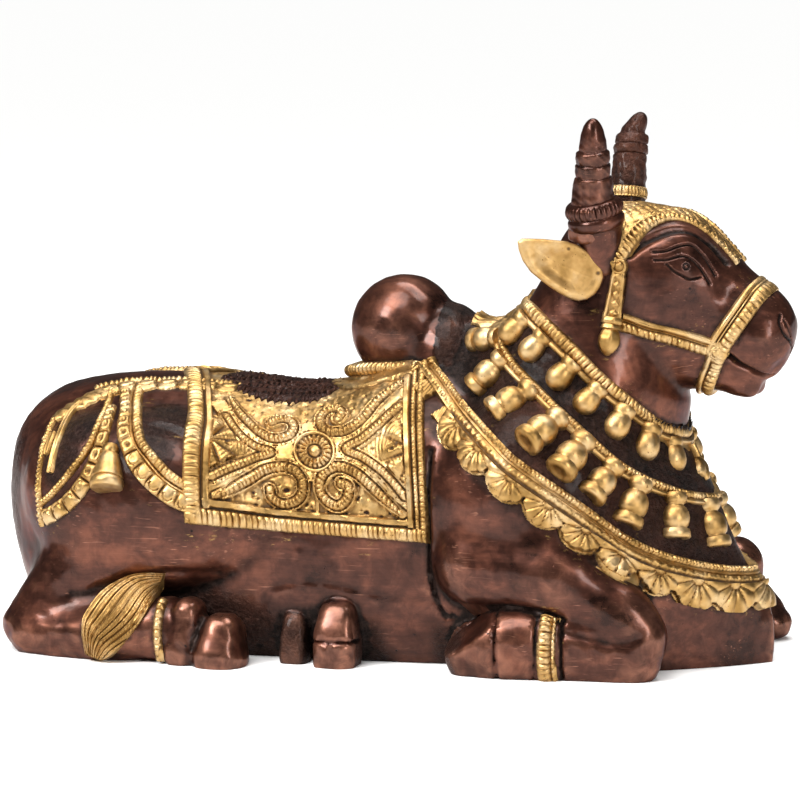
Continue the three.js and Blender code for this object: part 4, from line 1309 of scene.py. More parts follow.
def foreheadGrid():
    # a thin plate between the brow bands, chased with a net of crossing lines
    edge, (first, last) = np.array(bridle["browBand"], float), bridle["plate"]
    alongs = np.linspace(first, last, 150)
    low = np.interp(alongs, np.append([first, 0, 6], edge[1:, 0]), np.append([66, 56, 44], edge[1:, 1])) + 1.5
    share = np.linspace(0, 1, 84)
    base = np.empty((len(alongs), len(share), 3))
    for i, along in enumerate(alongs):
        for j, part in enumerate(share):
            base[i, j] = roundHead(along, low[i] + (180 - 2 * low[i]) * part)[:3]
    base = blurred(base, 2)
    normals = gridFacing(base, headUp)
    u, v = alongs[:, None] + 0 * share[None], base[..., 1]
    net = sum(0.35 * dome((slant / bridle["netPitch"] % 1) * 2 - 1, 0.2) for slant in (u + v, u - v))
    ends = np.minimum(smoothStep(first, first + 5.5, u), smoothStep(last, last - 1, u))
    thick = 0.45 + 3.0 * smoothStep(19, 5, u)
    front = base + normals * ((thick - net + 0.1 * wrinkled(u, v, 4, 45)) * ends - 0.8 * (1 - ends))[..., None]
    return withPoles(rolled(front, normals, 1.6))


bridlePiece = trapping("bridle", onBothSides(bridleGrids()) + [foreheadGrid()])
print("bridle", faceCount(bridlePiece))

ears = {
    "at": [73.5, 35, 151], "pitch": 14, "turn": -24, "thick": 2.6, "dish": 2.9,
    # the outline of the near ear in its own plane, tip first
    "outline": [[-18.6, 7.3], [-17.3, 8.7], [-14.7, 9.2], [-8.7, 10.5], [-4.5, 11], [0, 11.8], [4.1, 11.6], [8.6, 10.2],
                [12.6, 8], [16.2, 5], [17.5, 1.8], [17, -2], [15.5, -5.5], [13.2, -8.1], [10.1, -9.4], [6.7, -9.4],
                [1.7, -8.1], [-4.7, -5.7], [-11, -2.9], [-14.8, 0.5], [-17.3, 4.3]],
    "middle": [2.5, 1.5],
    "fold": [[-6, 3.6], [1.9, 2.2], [6.8, 1.4], [13, 0.6]],
    "pits": [[1.0, 9.2, 0.9], [14.2, 2.8, 1.1], [-9.5, 8.4, 0.7]],  # spots of painted shade in the ear's hollow as [along, up, radius]
    "hollowLooks": [-0.41, 0.91, 0.1],  # the way the left one's hollow looks; the right one mirrors it
}


def earPlace(points, side):
    # from the ear's own plane to where it stands on the head
    stood = rotation("Z", side * ears["turn"]) @ rotation("Y", ears["pitch"])
    return points @ stood.T + np.array(ears["at"]) * [1, side, 1]


def earSide(piece):
    return -1 if piece.name == "ear_right" else 1


def ear(side):
    # a dished leaf: rings from the middle of the back, over the rim, to the middle of the hollow
    outline = np.array(ears["outline"] + ears["outline"][:1])
    middle = np.array(ears["middle"])
    t = np.linspace(0, len(outline) - 1, 145)
    softer = blurred(outline, 1, True) * 0.35 + outline * 0.65
    rim = np.stack([np.interp(t, np.arange(len(outline)), softer[:, k]) for k in (0, 1)], axis=1)
    rim[-1] = rim[0]
    rings = []
    share = np.concatenate([np.linspace(0.02, 1, 26), np.linspace(0.97, 0.02, 44)])
    for k, part in enumerate(share):
        flat = middle + (rim - middle) * part
        thick = ears["thick"] * math.sqrt(max(1 - part ** 4, 0))
        if k < 26:
            y = np.full(len(flat), -thick)
        else:
            far = np.linalg.norm(flat[:, None] - between(ears["fold"], np.linspace(0, 1, 30))[None], axis=2).min(1)
            hollow = ears["dish"] * (1 - smoothStep(0.3, 0.93, part)) + 0.2 * np.exp(-(far / 0.6) ** 2) * (part < 0.9)
            y = 0.9 * thick - hollow
        rings.append(np.stack([flat[:, 0], y * side, flat[:, 1]], axis=1))
    return withPoles(earPlace(np.array(rings), side))


earPieces = [trapping(name, [ear(side)]) for name, side in (("ear_right", -1), ("ear_left", 1))]

horns = {
    "at": [84.0, 25, 163], "out": 11, "collarTilt": -8, "length": 46, "bentFrom": 37,
    # by side: the lean and the bend of the tip, how lumpy, and where the collar sits against the horn
    "bend": {-1: [1.7, 0.0], 1: [1.2, 2.8]}, "lumpy": {-1: 1.0, 1: 1.7},
    "collarMove": {-1: [2.4, 0, 0], 1: [0, 0, -6.5]},
    "right": [[0, 0], [8.8, 0], [8.8, 9], [8.6, 12.5], [8.2, 15.2], [7.75, 18.5], [7.0, 23.2], [6.5, 24.0],
              [6.4, 24.3], [6.6, 24.7], [6.8, 26], [6.7, 28.2], [6.3, 28.8], [6.1, 29.1], [6.4, 29.5], [6.6, 31],
              [6.4, 33.2], [5.6, 34], [5.2, 34.3], [5.15, 35.5], [4.9, 38], [4.3, 40.8], [3.4, 43.3], [2.2, 45.2],
              [1.1, 46.1], [0, 46.4]],
    "left": [[0, 0], [7.2, 0], [7, 10], [6.8, 18], [6.7, 24], [6.6, 29], [6.1, 29.5], [6.7, 30.1], [6.9, 31.5],
             [6.7, 33], [6.1, 33.5], [6.4, 34.1], [6.3, 36], [5.8, 37.3], [5.0, 37.9], [4.8, 38.6], [4.6, 40.4],
             [3.8, 42.6], [2.8, 44.6], [1.6, 45.8], [0.8, 46.2], [0, 46.4]],
    "collar": [[0, -16], [5.2, -14], [7.6, -8], [8.6, -2], [9.2, 3.5], [10.1, 4.6], [10.8, 6.2], [10.8, 7.8],
               [10.3, 8.8], [10.1, 9.1], [10.6, 9.6], [11.1, 10.8], [11.1, 12.2], [10.6, 13.6], [9.9, 14.4],
               [8.9, 14.9], [7, 15], [0, 15]],
    "band": [[0, 11.9], [7.4, 12.2], [8.1, 13.2], [8.3, 14.6], [7.9, 16], [7.1, 16.6], [0, 16.8]],
}


def knurled(profile, count, low, high, depth):
    # a turned shape with upright flutes filed round part of it
    fine = between(profile, np.linspace(0, 1, 90))
    shape = turnedPoints(fine, 200)
    spin = np.linspace(0, 2 * math.pi, 201)
    band = dome(fine[:, 1] - (low + high) / 2, (high - low) / 2) * (fine[:, 0] > np.array(profile)[:, 0].max() * 0.8)
    rib = dome(2 * (spin * count / (2 * math.pi) % 1) - 1, 1.03)
    shape[..., [0, 2]] *= (1 - depth * band[:, None] * (1 - rib)[None])[..., None]
    return shape


def hornGrids(name, side):
    def stood(points, tilt, bend=0.0, tip=0.0):
        grid = points[..., [0, 2, 1]].copy()
        tipped = tip * smoothStep(horns["bentFrom"], horns["length"], grid[..., 2])
        grid[..., 0] += bend * grid[..., 2] / horns["length"] + tipped
        leant = rotation("X", -side * horns["out"]) @ rotation("Y", tilt)
        return grid @ leant.T + np.array(horns["at"]) * [1, side, 1]

    shaft = turnedPoints(between(horns[name], np.linspace(0, 1, 160)), 60)
    flat = shaft.reshape(-1, 3)
    lumps = (0.17 * unevenness(flat, 7, 9) + 0.10 * unevenness(flat, 2.6, 10)).reshape(shaft.shape[:2])
    lumps = lumps * horns["lumpy"][side]
    shaft[..., [0, 2]] *= (1 + lumps[..., None] / 7.5)
    shaft = stood(shaft, 0, *horns["bend"][side])
    collar = stood(knurled(horns["collar"], 30, 9.4, 14.4, 0.09), horns["collarTilt"])
    return [shaft, collar + np.array(horns["collarMove"][side])]


hornPieces = [trapping("horn_" + name, hornGrids(name, side)) for name, side in (("right", -1), ("left", 1))]
# a second, brighter ring on the left horn
ring = knurled(horns["band"], 36, 12.4, 16.4, 0.10)[..., [0, 2, 1]]
hornRing = trapping("horn_ring", [ring @ rotation("X", -horns["out"]).T + np.array(horns["at"])])
print("ears and horns")

# The tail's tuft, the anklets and the ruff along the spine.

tuft = {
    "upper": [[-74.6, -64, 33.5], [-86.6, -66.5, 33], [-98.4, -68, 26.6], [-103.2, -72, 19.3], [-104.6, -75, 13.5],
              [-103.2, -75, 2.4]],
    "lower": [[-77, -63, 27.5], [-77.5, -71, 23], [-80.5, -76, 15.8], [-86.5, -77.5, 8.1], [-92, -77.5, 3],
              [-96, -77, 0.8]],
    "strands": 8, "bulge": 1.8,
}


def tuftGrid():
    t = np.linspace(0, 1, 130)
    a, b = between(tuft["upper"], t), between(tuft["lower"], t)
    w = np.linspace(0, 1, 84)
    base = a[:, None] * (1 - w)[None, :, None] + b[:, None] * w[None, :, None]
    out = np.array([0, -1.0, 0.15])
    wave = w[None] * tuft["strands"] + 0.5 * np.sin(t[:, None] * 4.5 + w[None] * 4) + 0.25 * np.sin(t[:, None] * 11)
    lobe = dome(2 * (wave % 1) - 1, 1.03)
    fine = 0.2 * np.sin(wave * 2 * math.pi * 3.3 + t[:, None] * 3)
    swell = np.sin(w * math.pi)[None] ** 0.6
    spread = np.sin(np.clip(t, 0.03, 0.99) * math.pi)[:, None] ** 0.4
    tips = 1 - 0.5 * smoothStep(0.86, 1, t)[:, None] * (1 - lobe)
    height = (tuft["bulge"] * swell + 1.7 * lobe + fine) * (0.35 + 0.65 * spread) * tips
    front = base + out * height[..., None]
    return withPoles(rolled(front, np.broadcast_to(out, front.shape), 5.0))


tailTuft = trapping("tail_tuft", [tuftGrid()])


anklet = {
    "foreShin": [77.2, 54, 11], "hindShin": [-73.5, 64, 12],  # the middles that the bands go round
    "turns": [-52, 66], "foreTop": 24.5,  # degrees round the shin, and the height where the fore band ends
}


def ankletGrids():
    def aroundShin(x, y, z, side):
        def place(angle, shift=0.0):
            turn = math.radians(angle)
            return hit([x + shift, y, z], [0, side * math.cos(turn), math.sin(turn)])
        return place

    def cuff(u, v, total):
        half = 3.7 - 0.5 * smoothStep(0.3, 1, u / total)
        band = over(flutes(u, v, total, 0.9, 2.5, 2.3, 2.4, 51),
                    flutes(u, v, total, -2.5, 0.9, 2.3, 1.8, 52), 0.6 + 0 * v)
        return np.where(np.abs(v) > half, -1.4, band)

    def beads(u, v, total):
        return edged(over(flutes(u, v, total, 0, 1.7, 2.6, 2.1, 53), 0.3 + 0 * v), v, -1.9, 1.9)

    turns = [[angle] for angle in np.linspace(*anklet["turns"], 9)]
    grids = []
    for side, further in ((-1, 0), (1, bodyForms["farReach"])):
        x, y, z = anklet["foreShin"]
        spots = run(turns, aroundShin(x + further, side * y, z, side), 80)
        spots = spots[spots[:, 2] < anklet["foreTop"]]
        grids.append(laid(spots, np.arange(-4.1, 4.15, 0.4), cuff if side < 0 else lambda u, v, t: cuff(u, -v, t)))
        x, y, z = anklet["hindShin"]
        spots = run(turns, aroundShin(x, side * y, z, side), 40)
        grids.append(laid(spots, np.arange(-2.2, 2.25, 0.36), beads))
    return grids


anklets = trapping("anklets", ankletGrids())

ruff = {
    "edge": [[-74, 88], [-70.7, 80], [-63, 71], [-56.1, 66], [-47.1, 62], [-39.8, 61], [-31.7, 61], [-25.6, 62],
             [-21, 67], [-18.5, 76], [-17.5, 88]],
    "rise": 0.9, "lock": 2.9,  # how proud it stands, and how wide each lock of hair is
}


def ruffGrid():
    edge = np.array(ruff["edge"], float)
    xs, turns = np.linspace(-75, -17, 200), np.linspace(57, 123, 190)
    low = np.interp(xs, edge[:, 0], edge[:, 1])
    base = blurred(np.array([[overBarrel(x, a)[:3] for a in turns] for x in xs]), 4)
    away = np.stack([0 * turns, -np.cos(np.radians(turns)), np.sin(np.radians(turns))], axis=1)
    normals = gridFacing(base, away[None])
    x, down = xs[:, None] + 0 * turns[None], np.abs(turns - 90)[None] * 1.05 + 0 * xs[:, None]
    inside = (90 - low)[:, None] * 1.05 - down
    # rows of overlapping locks, each row set between the tips of the one above
    lock = ruff["lock"]
    row = np.floor(down / (lock * 2.1))
    place = (x / lock + 0.5 * (row % 2) + 0.2 * np.sin(row * 2.1) + 0.35 * np.sin(x * 0.43 + row * 1.7)
             + 0.2 * np.sin(x * 0.19 + down * 0.5))
    aside = np.abs(2 * (place % 1) - 1)
    fall = down / (lock * 2.1) % 1
    scale = np.clip(1 - aside ** 2, 0, 1) ** 0.5 * (0.35 + 0.65 * fall) * (fall < 1.05 - 0.55 * aside ** 2)
    strand = 0.14 * np.sin(place * 2 * math.pi * 3)
    teeth = lock * 0.9 * (1 - np.abs(2 * (x / lock % 1) - 1)) - 1.2
    ends = smoothStep(-75, -67, x) * (1 - smoothStep(-21, -17, x))
    height = (ruff["rise"] + 1.3 * scale * (0.75 + 0.35 * wrinkled(x, down, 6, 71)) + strand) * ends
    height = np.where(inside + teeth > 0, height * (0.5 + 0.5 * smoothStep(0, 3, inside + teeth)) + 0.4, -1.2)
    return withPoles(rolled(base + normals * height[..., None], normals, 2.0))


spineRuff = trapping("spine_ruff", [ruffGrid()])
print("tuft, anklets and ruff")

gilded = [upperCollar, lowerCollar, garland, saddleCloth, clothBorder, rumpTrappings, bridlePiece, tailTuft, anklets,
          hornRing]
lacquered = [body, head, *hornPieces, spineRuff]

# Where dirt and dark lacquer gather, where painted shade darkens the creases, the low places and the foot of the
# trappings, and where hands have worn the metal.

wearAndShade = {
    "fineRounds": 5, "fine": 0.22, "broadRounds": 40, "broad": 0.8,  # millimetres at which a hollow is fully dark
    "nearReach": 5.5,  # how far from a trapping brass rubs off on the lacquer, and painted shade darkens the skin at the trapping's foot
    # dark fields inside the rump's straps as [x, angle, reach]
    "rumpFields": [[-80, 43, 15], [-83, 29, 12], [-116, 40, 14], [-119, 25, 11]],
    # how dark the lacquer lies, from 0 to 1: thick lacquer on the neck's ground, inside the rump's straps, on the left
    # horn and on the ruff; painted shade beside the tail, low on the belly and at the elbow
    "collars": 1.0, "shoulders": 0.85, "tailSide": 0.6, "belly": 0.85, "elbow": 0.8, "rump": 0.9,
    "leftHorn": 0.6, "ruff": 0.75,
    "margin": 0.00002,  # metres kept free inside the solid's own box
}


def kept(piece):
    # nothing reaches past the solid's own box, or below the table
    low, high = (np.array(list(corner)) for corner in cadBox)
    setCoordinates(piece, np.clip(coordinates(piece), low + wearAndShade["margin"], high - wearAndShade["margin"]))


def store(piece, name, values):
    layer = piece.data.attributes.new(name, "FLOAT", "POINT")
    layer.data.foreach_set("value", np.clip(values, 0, 1).astype(np.float32))


# hollows darken as lacquer gathered in them, and on the lacquered body also as painted shade in the creases; ridges
# show wear
def worn(piece):
    points, edges, out = toNotes(coordinates(piece)), neighbours(piece), facing(piece)
    fine = relaxed(points, edges, wearAndShade["fineRounds"])
    broad = relaxed(fine, edges, wearAndShade["broadRounds"])
    small = ((fine - points) * out).sum(1) / wearAndShade["fine"]
    large = ((broad - fine) * out).sum(1) / wearAndShade["broad"]
    # a hair of blur keeps the two free of the mesh's own grain
    both = relaxed(np.stack([small * 0.6 + large * 0.7, -small * 0.75 - large * 0.45], axis=1), edges, 2)
    hollow = both[:, 0]
    if piece in earPieces:
        # the ears stay bright but for a few spots of painted shade in the hollow
        side = earSide(piece)
        hollow = hollow * 0.2
        for along, up, radius in ears["pits"]:
            gap = np.linalg.norm(points - earPlace(np.array([along, ears["thick"] * 0.3 * side, up]), side), axis=1)
            hollow = np.maximum(hollow, 1.2 * (1 - smoothStep(radius * 0.4, radius * 1.3, gap)))
    store(piece, "hollow", hollow)
    store(piece, "ridge", both[:, 1])
    return points


dressed = np.vstack([toNotes(coordinates(piece))[::7] for piece in gilded])
dressedTree = KDTree(len(dressed))
for i, point in enumerate(dressed):
    dressedTree.insert(point, i)
dressedTree.balance()


def lacquerAndShadeOver(points):
    # where the lacquer lies thick and black, between the neck's bands and inside the rump's straps, and where painted
    # shade is laid beside the tail, low on the belly behind the hooves, and at the elbow
    x, y, z = points[:, 0], np.abs(points[:, 1]), points[:, 2]
    onNeck = (x > 20) * 1.0
    raising = smoothStep(-30, -50, x)
    thick = over(wearAndShade["collars"] * withinNeck(points, "lowerCollar", "upperCollar", 3) * onNeck,
                 wearAndShade["shoulders"] * withinNeck(points, "garland", "lowerCollar", 3) * onNeck,
                 wearAndShade["tailSide"] * smoothStep(-137, -150, x) * smoothStep(22, 40, z),
                 wearAndShade["belly"] * smoothStep(-76, -62, x) * smoothStep(14, 6, x) * smoothStep(63, 58.5, y)
                 * smoothStep(26 + 10 * raising, 12 + 8 * raising, z),
                 wearAndShade["elbow"] * smoothStep(24, 30, x) * smoothStep(46, 40, x) * smoothStep(22, 12, z)
                 * smoothStep(68, 63, y))
    for x, turn, reach in wearAndShade["rumpFields"]:
        for side in (-1, 1):
            gap = np.linalg.norm(points - overBarrel(x, turn, side)[:3], axis=1)
            thick = np.maximum(thick, wearAndShade["rump"] * (1 - smoothStep(reach * 0.6, reach * 1.3, gap)))
    return thick


for piece in [*gilded, *lacquered, *earPieces]:
    kept(piece)
    points = worn(piece)
    if piece in gilded:
        continue
    apart = np.array([dressedTree.find(point)[2] for point in points])
    # near carries the brass rubbed through beside a trapping, and the painted shade at its foot
    store(piece, "near", 1 - apart / wearAndShade["nearReach"])
    thick = lacquerAndShadeOver(points)
    if piece == hornPieces[1]:
        thick = np.full(len(points), wearAndShade["leftHorn"])
    if piece == spineRuff:
        thick = np.full(len(points), wearAndShade["ruff"])
    if piece == head:
        thick = np.maximum(thick, faceInk)
    # thick carries the black lacquer and the painted shade beside the tail, low on the belly and at the elbow
    store(piece, "thick", thick)

# the smooth parts need fewer faces than the carving took; this share of them stays
facesLeft = [(body, 0.58), (head, 0.6), (hornPieces[0], 0.5), (hornPieces[1], 0.5), (hornRing, 0.4),
             (bridlePiece, 0.75), (saddleCloth, 0.8), (rumpTrappings, 0.8)]
for piece, share in facesLeft:
    modified(piece, "DECIMATE", ratio=share)
    if piece == body:
        cutFlat(body, 0.0001)
    kept(piece)
print("wear measured")


# The materials.

def linear(code):
    shares = [int(code[i:i + 2], 16) / 255 for i in (1, 3, 5)]
    return [c / 12.92 if c <= 0.04045 else ((c + 0.055) / 1.055) ** 2.4 for c in shares] + [1.0]


def connect(tree, node, inputs):
    # inputs go by name, or in the sockets' own order; an output of another node is linked
    for key, value in inputs.items() if isinstance(inputs, dict) else enumerate(inputs):
        if isinstance(value, bpy.types.NodeSocket):
            tree.links.new(value, node.inputs[key])
        else:
            node.inputs[key].default_value = value


def addNode(tree, kind, inputs=(), output=0, **settings):
    node = tree.nodes.new("ShaderNode" + kind)
    for key, value in settings.items():
        setattr(node, key, value)
    connect(tree, node, inputs)
    return node.outputs[output]


def newMaterial(name, patterns):
    # a material with its noise patterns laid out by name
    material = bpy.data.materials.new(name)
    material.use_nodes = True
    tree = material.node_tree
    place, pattern = addNode(tree, "TexCoord", output="Object"), {}
    for key, (width, detail, roughness, distortion, *stretch) in patterns.items():
        at = place
        if stretch:
            at = addNode(tree, "Mapping", {"Vector": place, "Rotation": stretch[0], "Scale": stretch[1]})
        pattern[key] = addNode(tree, "TexNoise", {"Vector": at, "Scale": 1 / (width * millimetre), "Detail": detail,
                                                  "Roughness": roughness, "Distortion": distortion})
    return material, tree, tree.nodes["Principled BSDF"], pattern


lacquer = {
    # recess and grime are the black of dark lacquer and dirt, laid also as painted shade
    "dark": "#261510", "middle": "#462920", "warm": "#693f30", "recess": "#0d0908", "grimeAndShade": "#2b201c",
    "worn": "#9c6a55", "brass": "#c29b58", "pit": "#0b0706", "edge": "#b09a92",
    "metallic": 0.80, "roughness": 0.30, "coat": 0.20, "coatRoughness": 0.14, "coatIndex": 1.5,
    "pitSize": 6.0,
    # [millimetres across one patch, detail, roughness, distortion], and for streaks a turn and a scale
    "patterns": {
        "patches": [30, 4, 0.6, 0], "mottle": [7, 5, 0.65, 0.6], "lumps": [2.0, 4, 0.65, 0],
        "brushed": [2.2, 3, 0.6, 0, (0, 0.25, 0.3), (0.10, 1.0, 1.0)],
        "scratches": [0.8, 1, 0.5, 0, (0, 0.6, 0.5), (0.03, 1, 1)], "scratchPatches": [16, 2, 0.55, 0],
        "flecks": [1.8, 4, 0.7, 0, (0, 0.3, 0.2), (0.25, 1, 1)], "fleckPatches": [11, 2, 0.55, 0],
        "pitPatches": [9, 2, 0.55, 0],
    },
}


def lacqueredCopper(name):
    # Brass under a brown copper lacquer: warm and half metallic where rubbed, black where it lies thick, and black as
    # painted shade in the creases, beside the tail, low on the belly, at the elbow and at the foot of the trappings.
    material, tree, shader, pattern = newMaterial(name, lacquer["patterns"])
    add = partial(addNode, tree)
    hollow, ridge, near, thick = (add("Attribute", output="Fac", attribute_name=key)
                                  for key in ("hollow", "ridge", "near", "thick"))
    tone = add("Math", [pattern["brushed"], 0.15], operation="MULTIPLY")
    tone = add("Math", [pattern["mottle"], 0.3, tone], operation="MULTIPLY_ADD")
    tone = add("Math", [pattern["patches"], 0.55, tone], operation="MULTIPLY_ADD")
    # a map range takes its value, the range it comes from and the range it goes to
    colour = add("ValToRGB", [add("MapRange", [tone, 0.39, 0.63, 0, 1])])
    ramp = colour.node.color_ramp.elements
    ramp[0].color, ramp[1].color = linear(lacquer["dark"]), linear(lacquer["warm"])
    ramp.new(0.5).color = linear(lacquer["middle"])
    # rubbed edges show copper
    rubbed = add("Math", [add("MapRange", [ridge, 0.25, 0.95, 0, 0.6]),
                          add("MapRange", [pattern["mottle"], 0.35, 0.65, 0.2, 0.9])],
                 operation="MULTIPLY", use_clamp=True)
    # hairline scratches, lighter than the lacquer
    scratched = add("Math", [add("MapRange", [pattern["scratches"], 0.64, 0.76, 0, 1]),
                             add("MapRange", [pattern["scratchPatches"], 0.50, 0.64, 0, 0.6])],
                    operation="MULTIPLY", use_clamp=True)
    # brass shows through beside the trappings in flecks and streaks
    bare = add("Math", [add("MapRange", [pattern["flecks"], 0.60, 0.69, 0, 1]),
                        add("MapRange", [pattern["fleckPatches"], 0.50, 0.63, 0, 1])], operation="MULTIPLY")
    bare = add("Math", [bare, add("MapRange", [near, 0.05, 0.75, 0.02, 0.95])], operation="MULTIPLY", use_clamp=True)
    # black lacquer and dirt in the hollows, beside the trappings and where it lies thick; the same black is painted
    # shade in the creases, at the foot of the trappings, beside the tail, low on the belly and at the elbow
    caughtAndShaded = add("Math", [thick, add("MapRange", [near, 0.64, 0.88, 0, 0.85])], operation="MAXIMUM")
    dirtAndShade = add("Math", [caughtAndShaded, add("MapRange", [pattern["mottle"], 0.35, 0.6, 0.72, 1.05]),
                        add("MapRange", [hollow, 0.10, 0.75, 0, 0.95])], operation="MULTIPLY_ADD", use_clamp=True)
    # one colour for dark lacquer, dirt and painted shade alike
    grimeAndShade = add("Mix", {0: add("MapRange", [pattern["lumps"], 0.45, 0.7, 0, 1]), 6: linear(lacquer["recess"]),
                        7: linear(lacquer["grimeAndShade"])}, 2, data_type="RGBA")
    # small round pits of the casting, scattered in places
    cells = add("TexVoronoi", {"Vector": add("TexCoord", output="Object"), "Randomness": 1.0,
                               "Scale": 1 / (lacquer["pitSize"] * millimetre)}, "Distance")
    pitted = add("Math", [add("MapRange", [cells, 0.05, 0.11, 1, 0]),
                          add("MapRange", [pattern["pitPatches"], 0.56, 0.6, 0, 1])],
                 operation="MULTIPLY", use_clamp=True)
    for share, laidOn in ((rubbed, linear(lacquer["worn"])), (scratched, linear(lacquer["worn"])),
                          (bare, linear(lacquer["brass"])), (dirtAndShade, grimeAndShade), (pitted, linear(lacquer["pit"]))):
        colour = add("Mix", {0: share, 6: colour, 7: laidOn}, 2, data_type="RGBA")
    rough = add("MapRange", [tone, 0.35, 0.65, lacquer["roughness"] - 0.06, lacquer["roughness"] + 0.10])
    rough = add("Math", [dirtAndShade, 0.14, rough], operation="MULTIPLY_ADD")
    rough = add("Math", [bare, -0.08, rough], operation="MULTIPLY_ADD")
    # thick lacquer is lumpy, and dull
    lumpy = add("Math", [pattern["lumps"], add("MapRange", [thick, 0.3, 0.8, 0, 1])], operation="MULTIPLY")
    grain = add("Bump", {"Height": pattern["brushed"], "Distance": 0.035 * millimetre, "Strength": 0.7})
    for height, millimetres, strength in ((pattern["mottle"], 0.08, 0.55), (pitted, -0.18, 0.8), (lumpy, 1.6, 1.0)):
        grain = add("Bump", {"Height": height, "Distance": millimetres * millimetre, "Strength": strength,
                             "Normal": grain})
    connect(tree, shader, {
        "Base Color": colour, "Roughness": rough, "Normal": grain, "Specular Tint": linear(lacquer["edge"]),
        "Metallic": add("Math", [dirtAndShade, -0.45, lacquer["metallic"]], operation="MULTIPLY_ADD"),
        "Specular IOR Level": add("MapRange", [dirtAndShade, 0, 1, 0.5, 0.3]),
        "Coat Weight": add("MapRange", [dirtAndShade, 0, 1, lacquer["coat"], lacquer["coat"] * 0.1]),
        "Coat Roughness": lacquer["coatRoughness"], "Coat IOR": lacquer["coatIndex"]})
    return material


polished = {
    "brass": "#ad8a56", "deep": "#8a6a3b", "pale": "#bda278", "recess": "#1d130d", "amber": "#70502a",
    "speck": "#4a2d14", "roughness": 0.42,
    "patterns": {
        "patches": [12, 3, 0.55, 0], "mottle": [3.2, 4, 0.65, 0], "hammered": [2.0, 3, 0.55, 0],
        "scratches": [0.55, 2, 0.6, 0, (0, 0.5, 0.4), (0.08, 1, 1)],
        "specks": [0.9, 2, 0.6, 0], "speckPatches": [8, 2, 0.55, 0],
    },
}


def polishedBrass(name, dark=1.0, duller=0.0):
    # Yellow brass filed and buffed by hand: bright faces, brown lacquer left in every groove.
    material, tree, shader, pattern = newMaterial(name, polished["patterns"])
    add = partial(addNode, tree)
    colour = add("ValToRGB", [add("MapRange", [pattern["patches"], 0.34, 0.66, 0, 1])])
    ramp = colour.node.color_ramp.elements
    ramp[0].color, ramp[1].color = linear(polished["deep"]), linear(polished["pale"])
    ramp.new(0.45).color = linear(polished["brass"])
    # amber lacquer at the edge of each groove, black at its bottom
    soiled = add("Math", [pattern["mottle"], 0.5], operation="SUBTRACT")
    soiled = add("Math", [soiled, 0.30, add("Attribute", output="Fac", attribute_name="hollow")],
                 operation="MULTIPLY_ADD")
    amber = add("MapRange", [soiled, 0.10, 0.40, 0, 0.85 * dark])
    black = add("MapRange", [soiled, 0.40, 0.90, 0, 0.85 * dark])
    specks = add("Math", [add("MapRange", [pattern["specks"], 0.66, 0.7, 0, 1]),
                          add("MapRange", [pattern["speckPatches"], 0.5, 0.58, 0, 1])],
                 operation="MULTIPLY", use_clamp=True)
    for share, laidOn in ((amber, "amber"), (black, "recess"), (specks, "speck")):
        colour = add("Mix", {0: share, 6: colour, 7: linear(polished[laidOn])}, 2, data_type="RGBA")
    rough = add("MapRange", [pattern["hammered"], 0.35, 0.65, polished["roughness"] - 0.07 + duller,
                             polished["roughness"] + 0.12 + duller])
    rough = add("Math", [black, 0.4, rough], operation="MULTIPLY_ADD", use_clamp=True)
    grain = add("Bump", {"Height": pattern["scratches"], "Distance": 0.018 * millimetre, "Strength": 0.6})
    grain = add("Bump", {"Height": pattern["hammered"], "Distance": 0.14 * millimetre, "Strength": 0.6,
                         "Normal": grain})
    connect(tree, shader, {"Base Color": colour, "Roughness": rough, "Normal": grain,
                           "Metallic": add("Math", [black, -0.75, 1.0], operation="MULTIPLY_ADD")})
    return material


brown = lacqueredCopper("lacquered_copper_brown")
gold = polishedBrass("polished_brass")
satin = polishedBrass("satin_brass", 0.8, 0.10)
for piece in gilded:
    piece.data.materials.append(satin if piece == tailTuft else gold)
for piece in lacquered:
    piece.data.materials.append(brown)
for piece in earPieces:
    piece.data.materials.append(satin)
    piece.data.materials.append(brown)
    # the outer hollow is polished, the back and the rolled edge are left brown
    way = unit(np.array(ears["hollowLooks"]) * [1, earSide(piece), 1])
    away = read(piece.data.polygons, "normal", 3) @ way < 0.15
    piece.data.polygons.foreach_set("material_index", away.astype(np.int32))
for piece in gilded + lacquered + earPieces:
    only(piece)
    bpy.ops.object.shade_smooth_by_angle(angle=math.radians(50))
    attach(piece, "root")
    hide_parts("nandi_bull")
print("materials", sum(faceCount(piece) for piece in gilded + lacquered + earPieces), "faces in all")

# The table, the light and the camera.

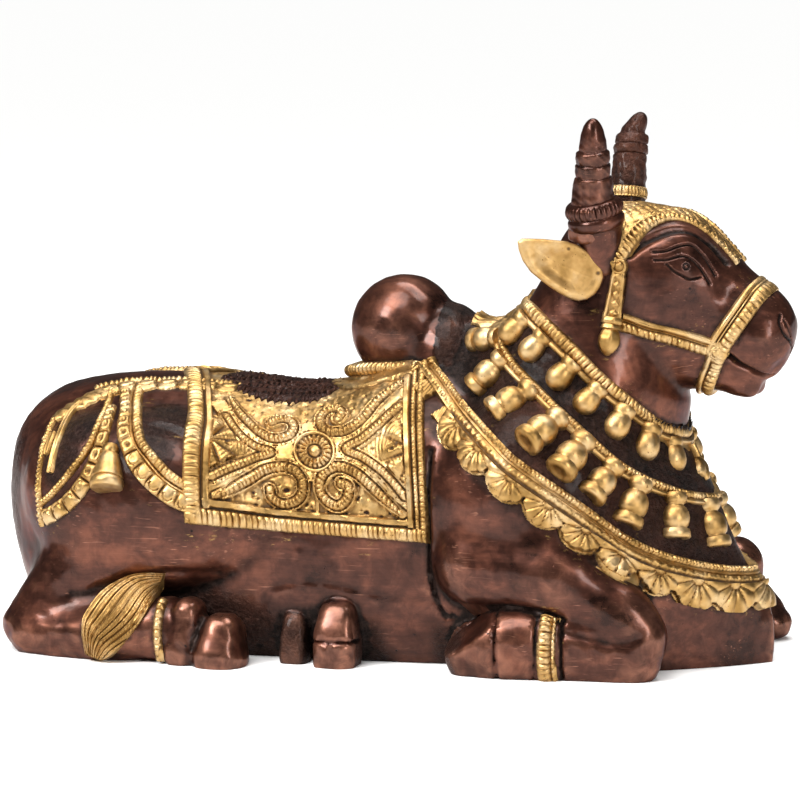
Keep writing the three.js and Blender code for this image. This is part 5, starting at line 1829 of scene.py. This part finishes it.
studio = {
    "azimuth": 17, "elevation": 6.5, "distance": 1.5, "aimedAt": (0.003222, 0, 0.096), "lens": 172.125,
    # softboxes as [name, place, aim, width, height, watts]
    "softboxes": [["key", (-0.75, -1.05, 0.95), (0, 0, 0.1), 0.5, 0.4, 20],
                  ["fill", (1.15, -1.0, 0.55), (0, 0, 0.1), 0.28, 0.8, 11],
                  ["top", (0.15, 0.25, 1.3), (0, 0, 0.1), 1.2, 0.3, 15]],
    "sky": 0.12, "sun": 3.45, "sunAngle": 40, "sunTurn": (24, -12, 0),
}
bpy.ops.mesh.primitive_plane_add(size=60)
floor = bpy.context.object
floor.name = "floor"
# Matt white card: nearly white, no shine.
paper, tree, shader, pattern = newMaterial("white_card", {"grain": [1.5, 2, 0.55, 0]})
white = addNode(tree, "Mix", {0: pattern["grain"], 6: linear("#f6f6f5"), 7: linear("#fbfbfa")}, 2, data_type="RGBA")
connect(tree, shader, {"Base Color": white, "Roughness": 0.85, "Specular IOR Level": 0.2})
floor.data.materials.append(paper)
for name, place, aim, width, height, power in studio["softboxes"]:
    bpy.ops.object.light_add(type="AREA", location=place)
    lamp = bpy.context.object
    lamp.name, lamp.data.shape = name, "RECTANGLE"
    lamp.data.size, lamp.data.size_y, lamp.data.energy = width, height, power
    lamp.rotation_euler = (Vector(place) - Vector(aim)).to_track_quat("Z", "Y").to_euler()
bpy.ops.object.light_add(type="SUN", location=(0, 0, 2))
sun = bpy.context.object
sun.data.energy, sun.data.angle = studio["sun"], math.radians(studio["sunAngle"])
sun.rotation_euler = [math.radians(turn) for turn in studio["sunTurn"]]
sky = bpy.data.worlds.new("studio")
bpy.context.scene.world = sky
sky.use_nodes = True
connect(sky.node_tree, sky.node_tree.nodes["Background"], {"Color": (1, 1, 1, 1), "Strength": studio["sky"]})

turn, lift = math.radians(studio["azimuth"]), math.radians(studio["elevation"])
back = Vector((math.sin(turn) * math.cos(lift), -math.cos(turn) * math.cos(lift), math.sin(lift)))
bpy.ops.object.camera_add(location=Vector(studio["aimedAt"]) + back * studio["distance"])
camera = bpy.context.object
camera.rotation_euler = back.to_track_quat("Z", "Y").to_euler()
camera.data.lens, camera.data.sensor_width, camera.data.clip_end = studio["lens"], 36, 100
bpy.context.scene.camera = camera
bpy.context.scene.view_settings.view_transform = "Standard"
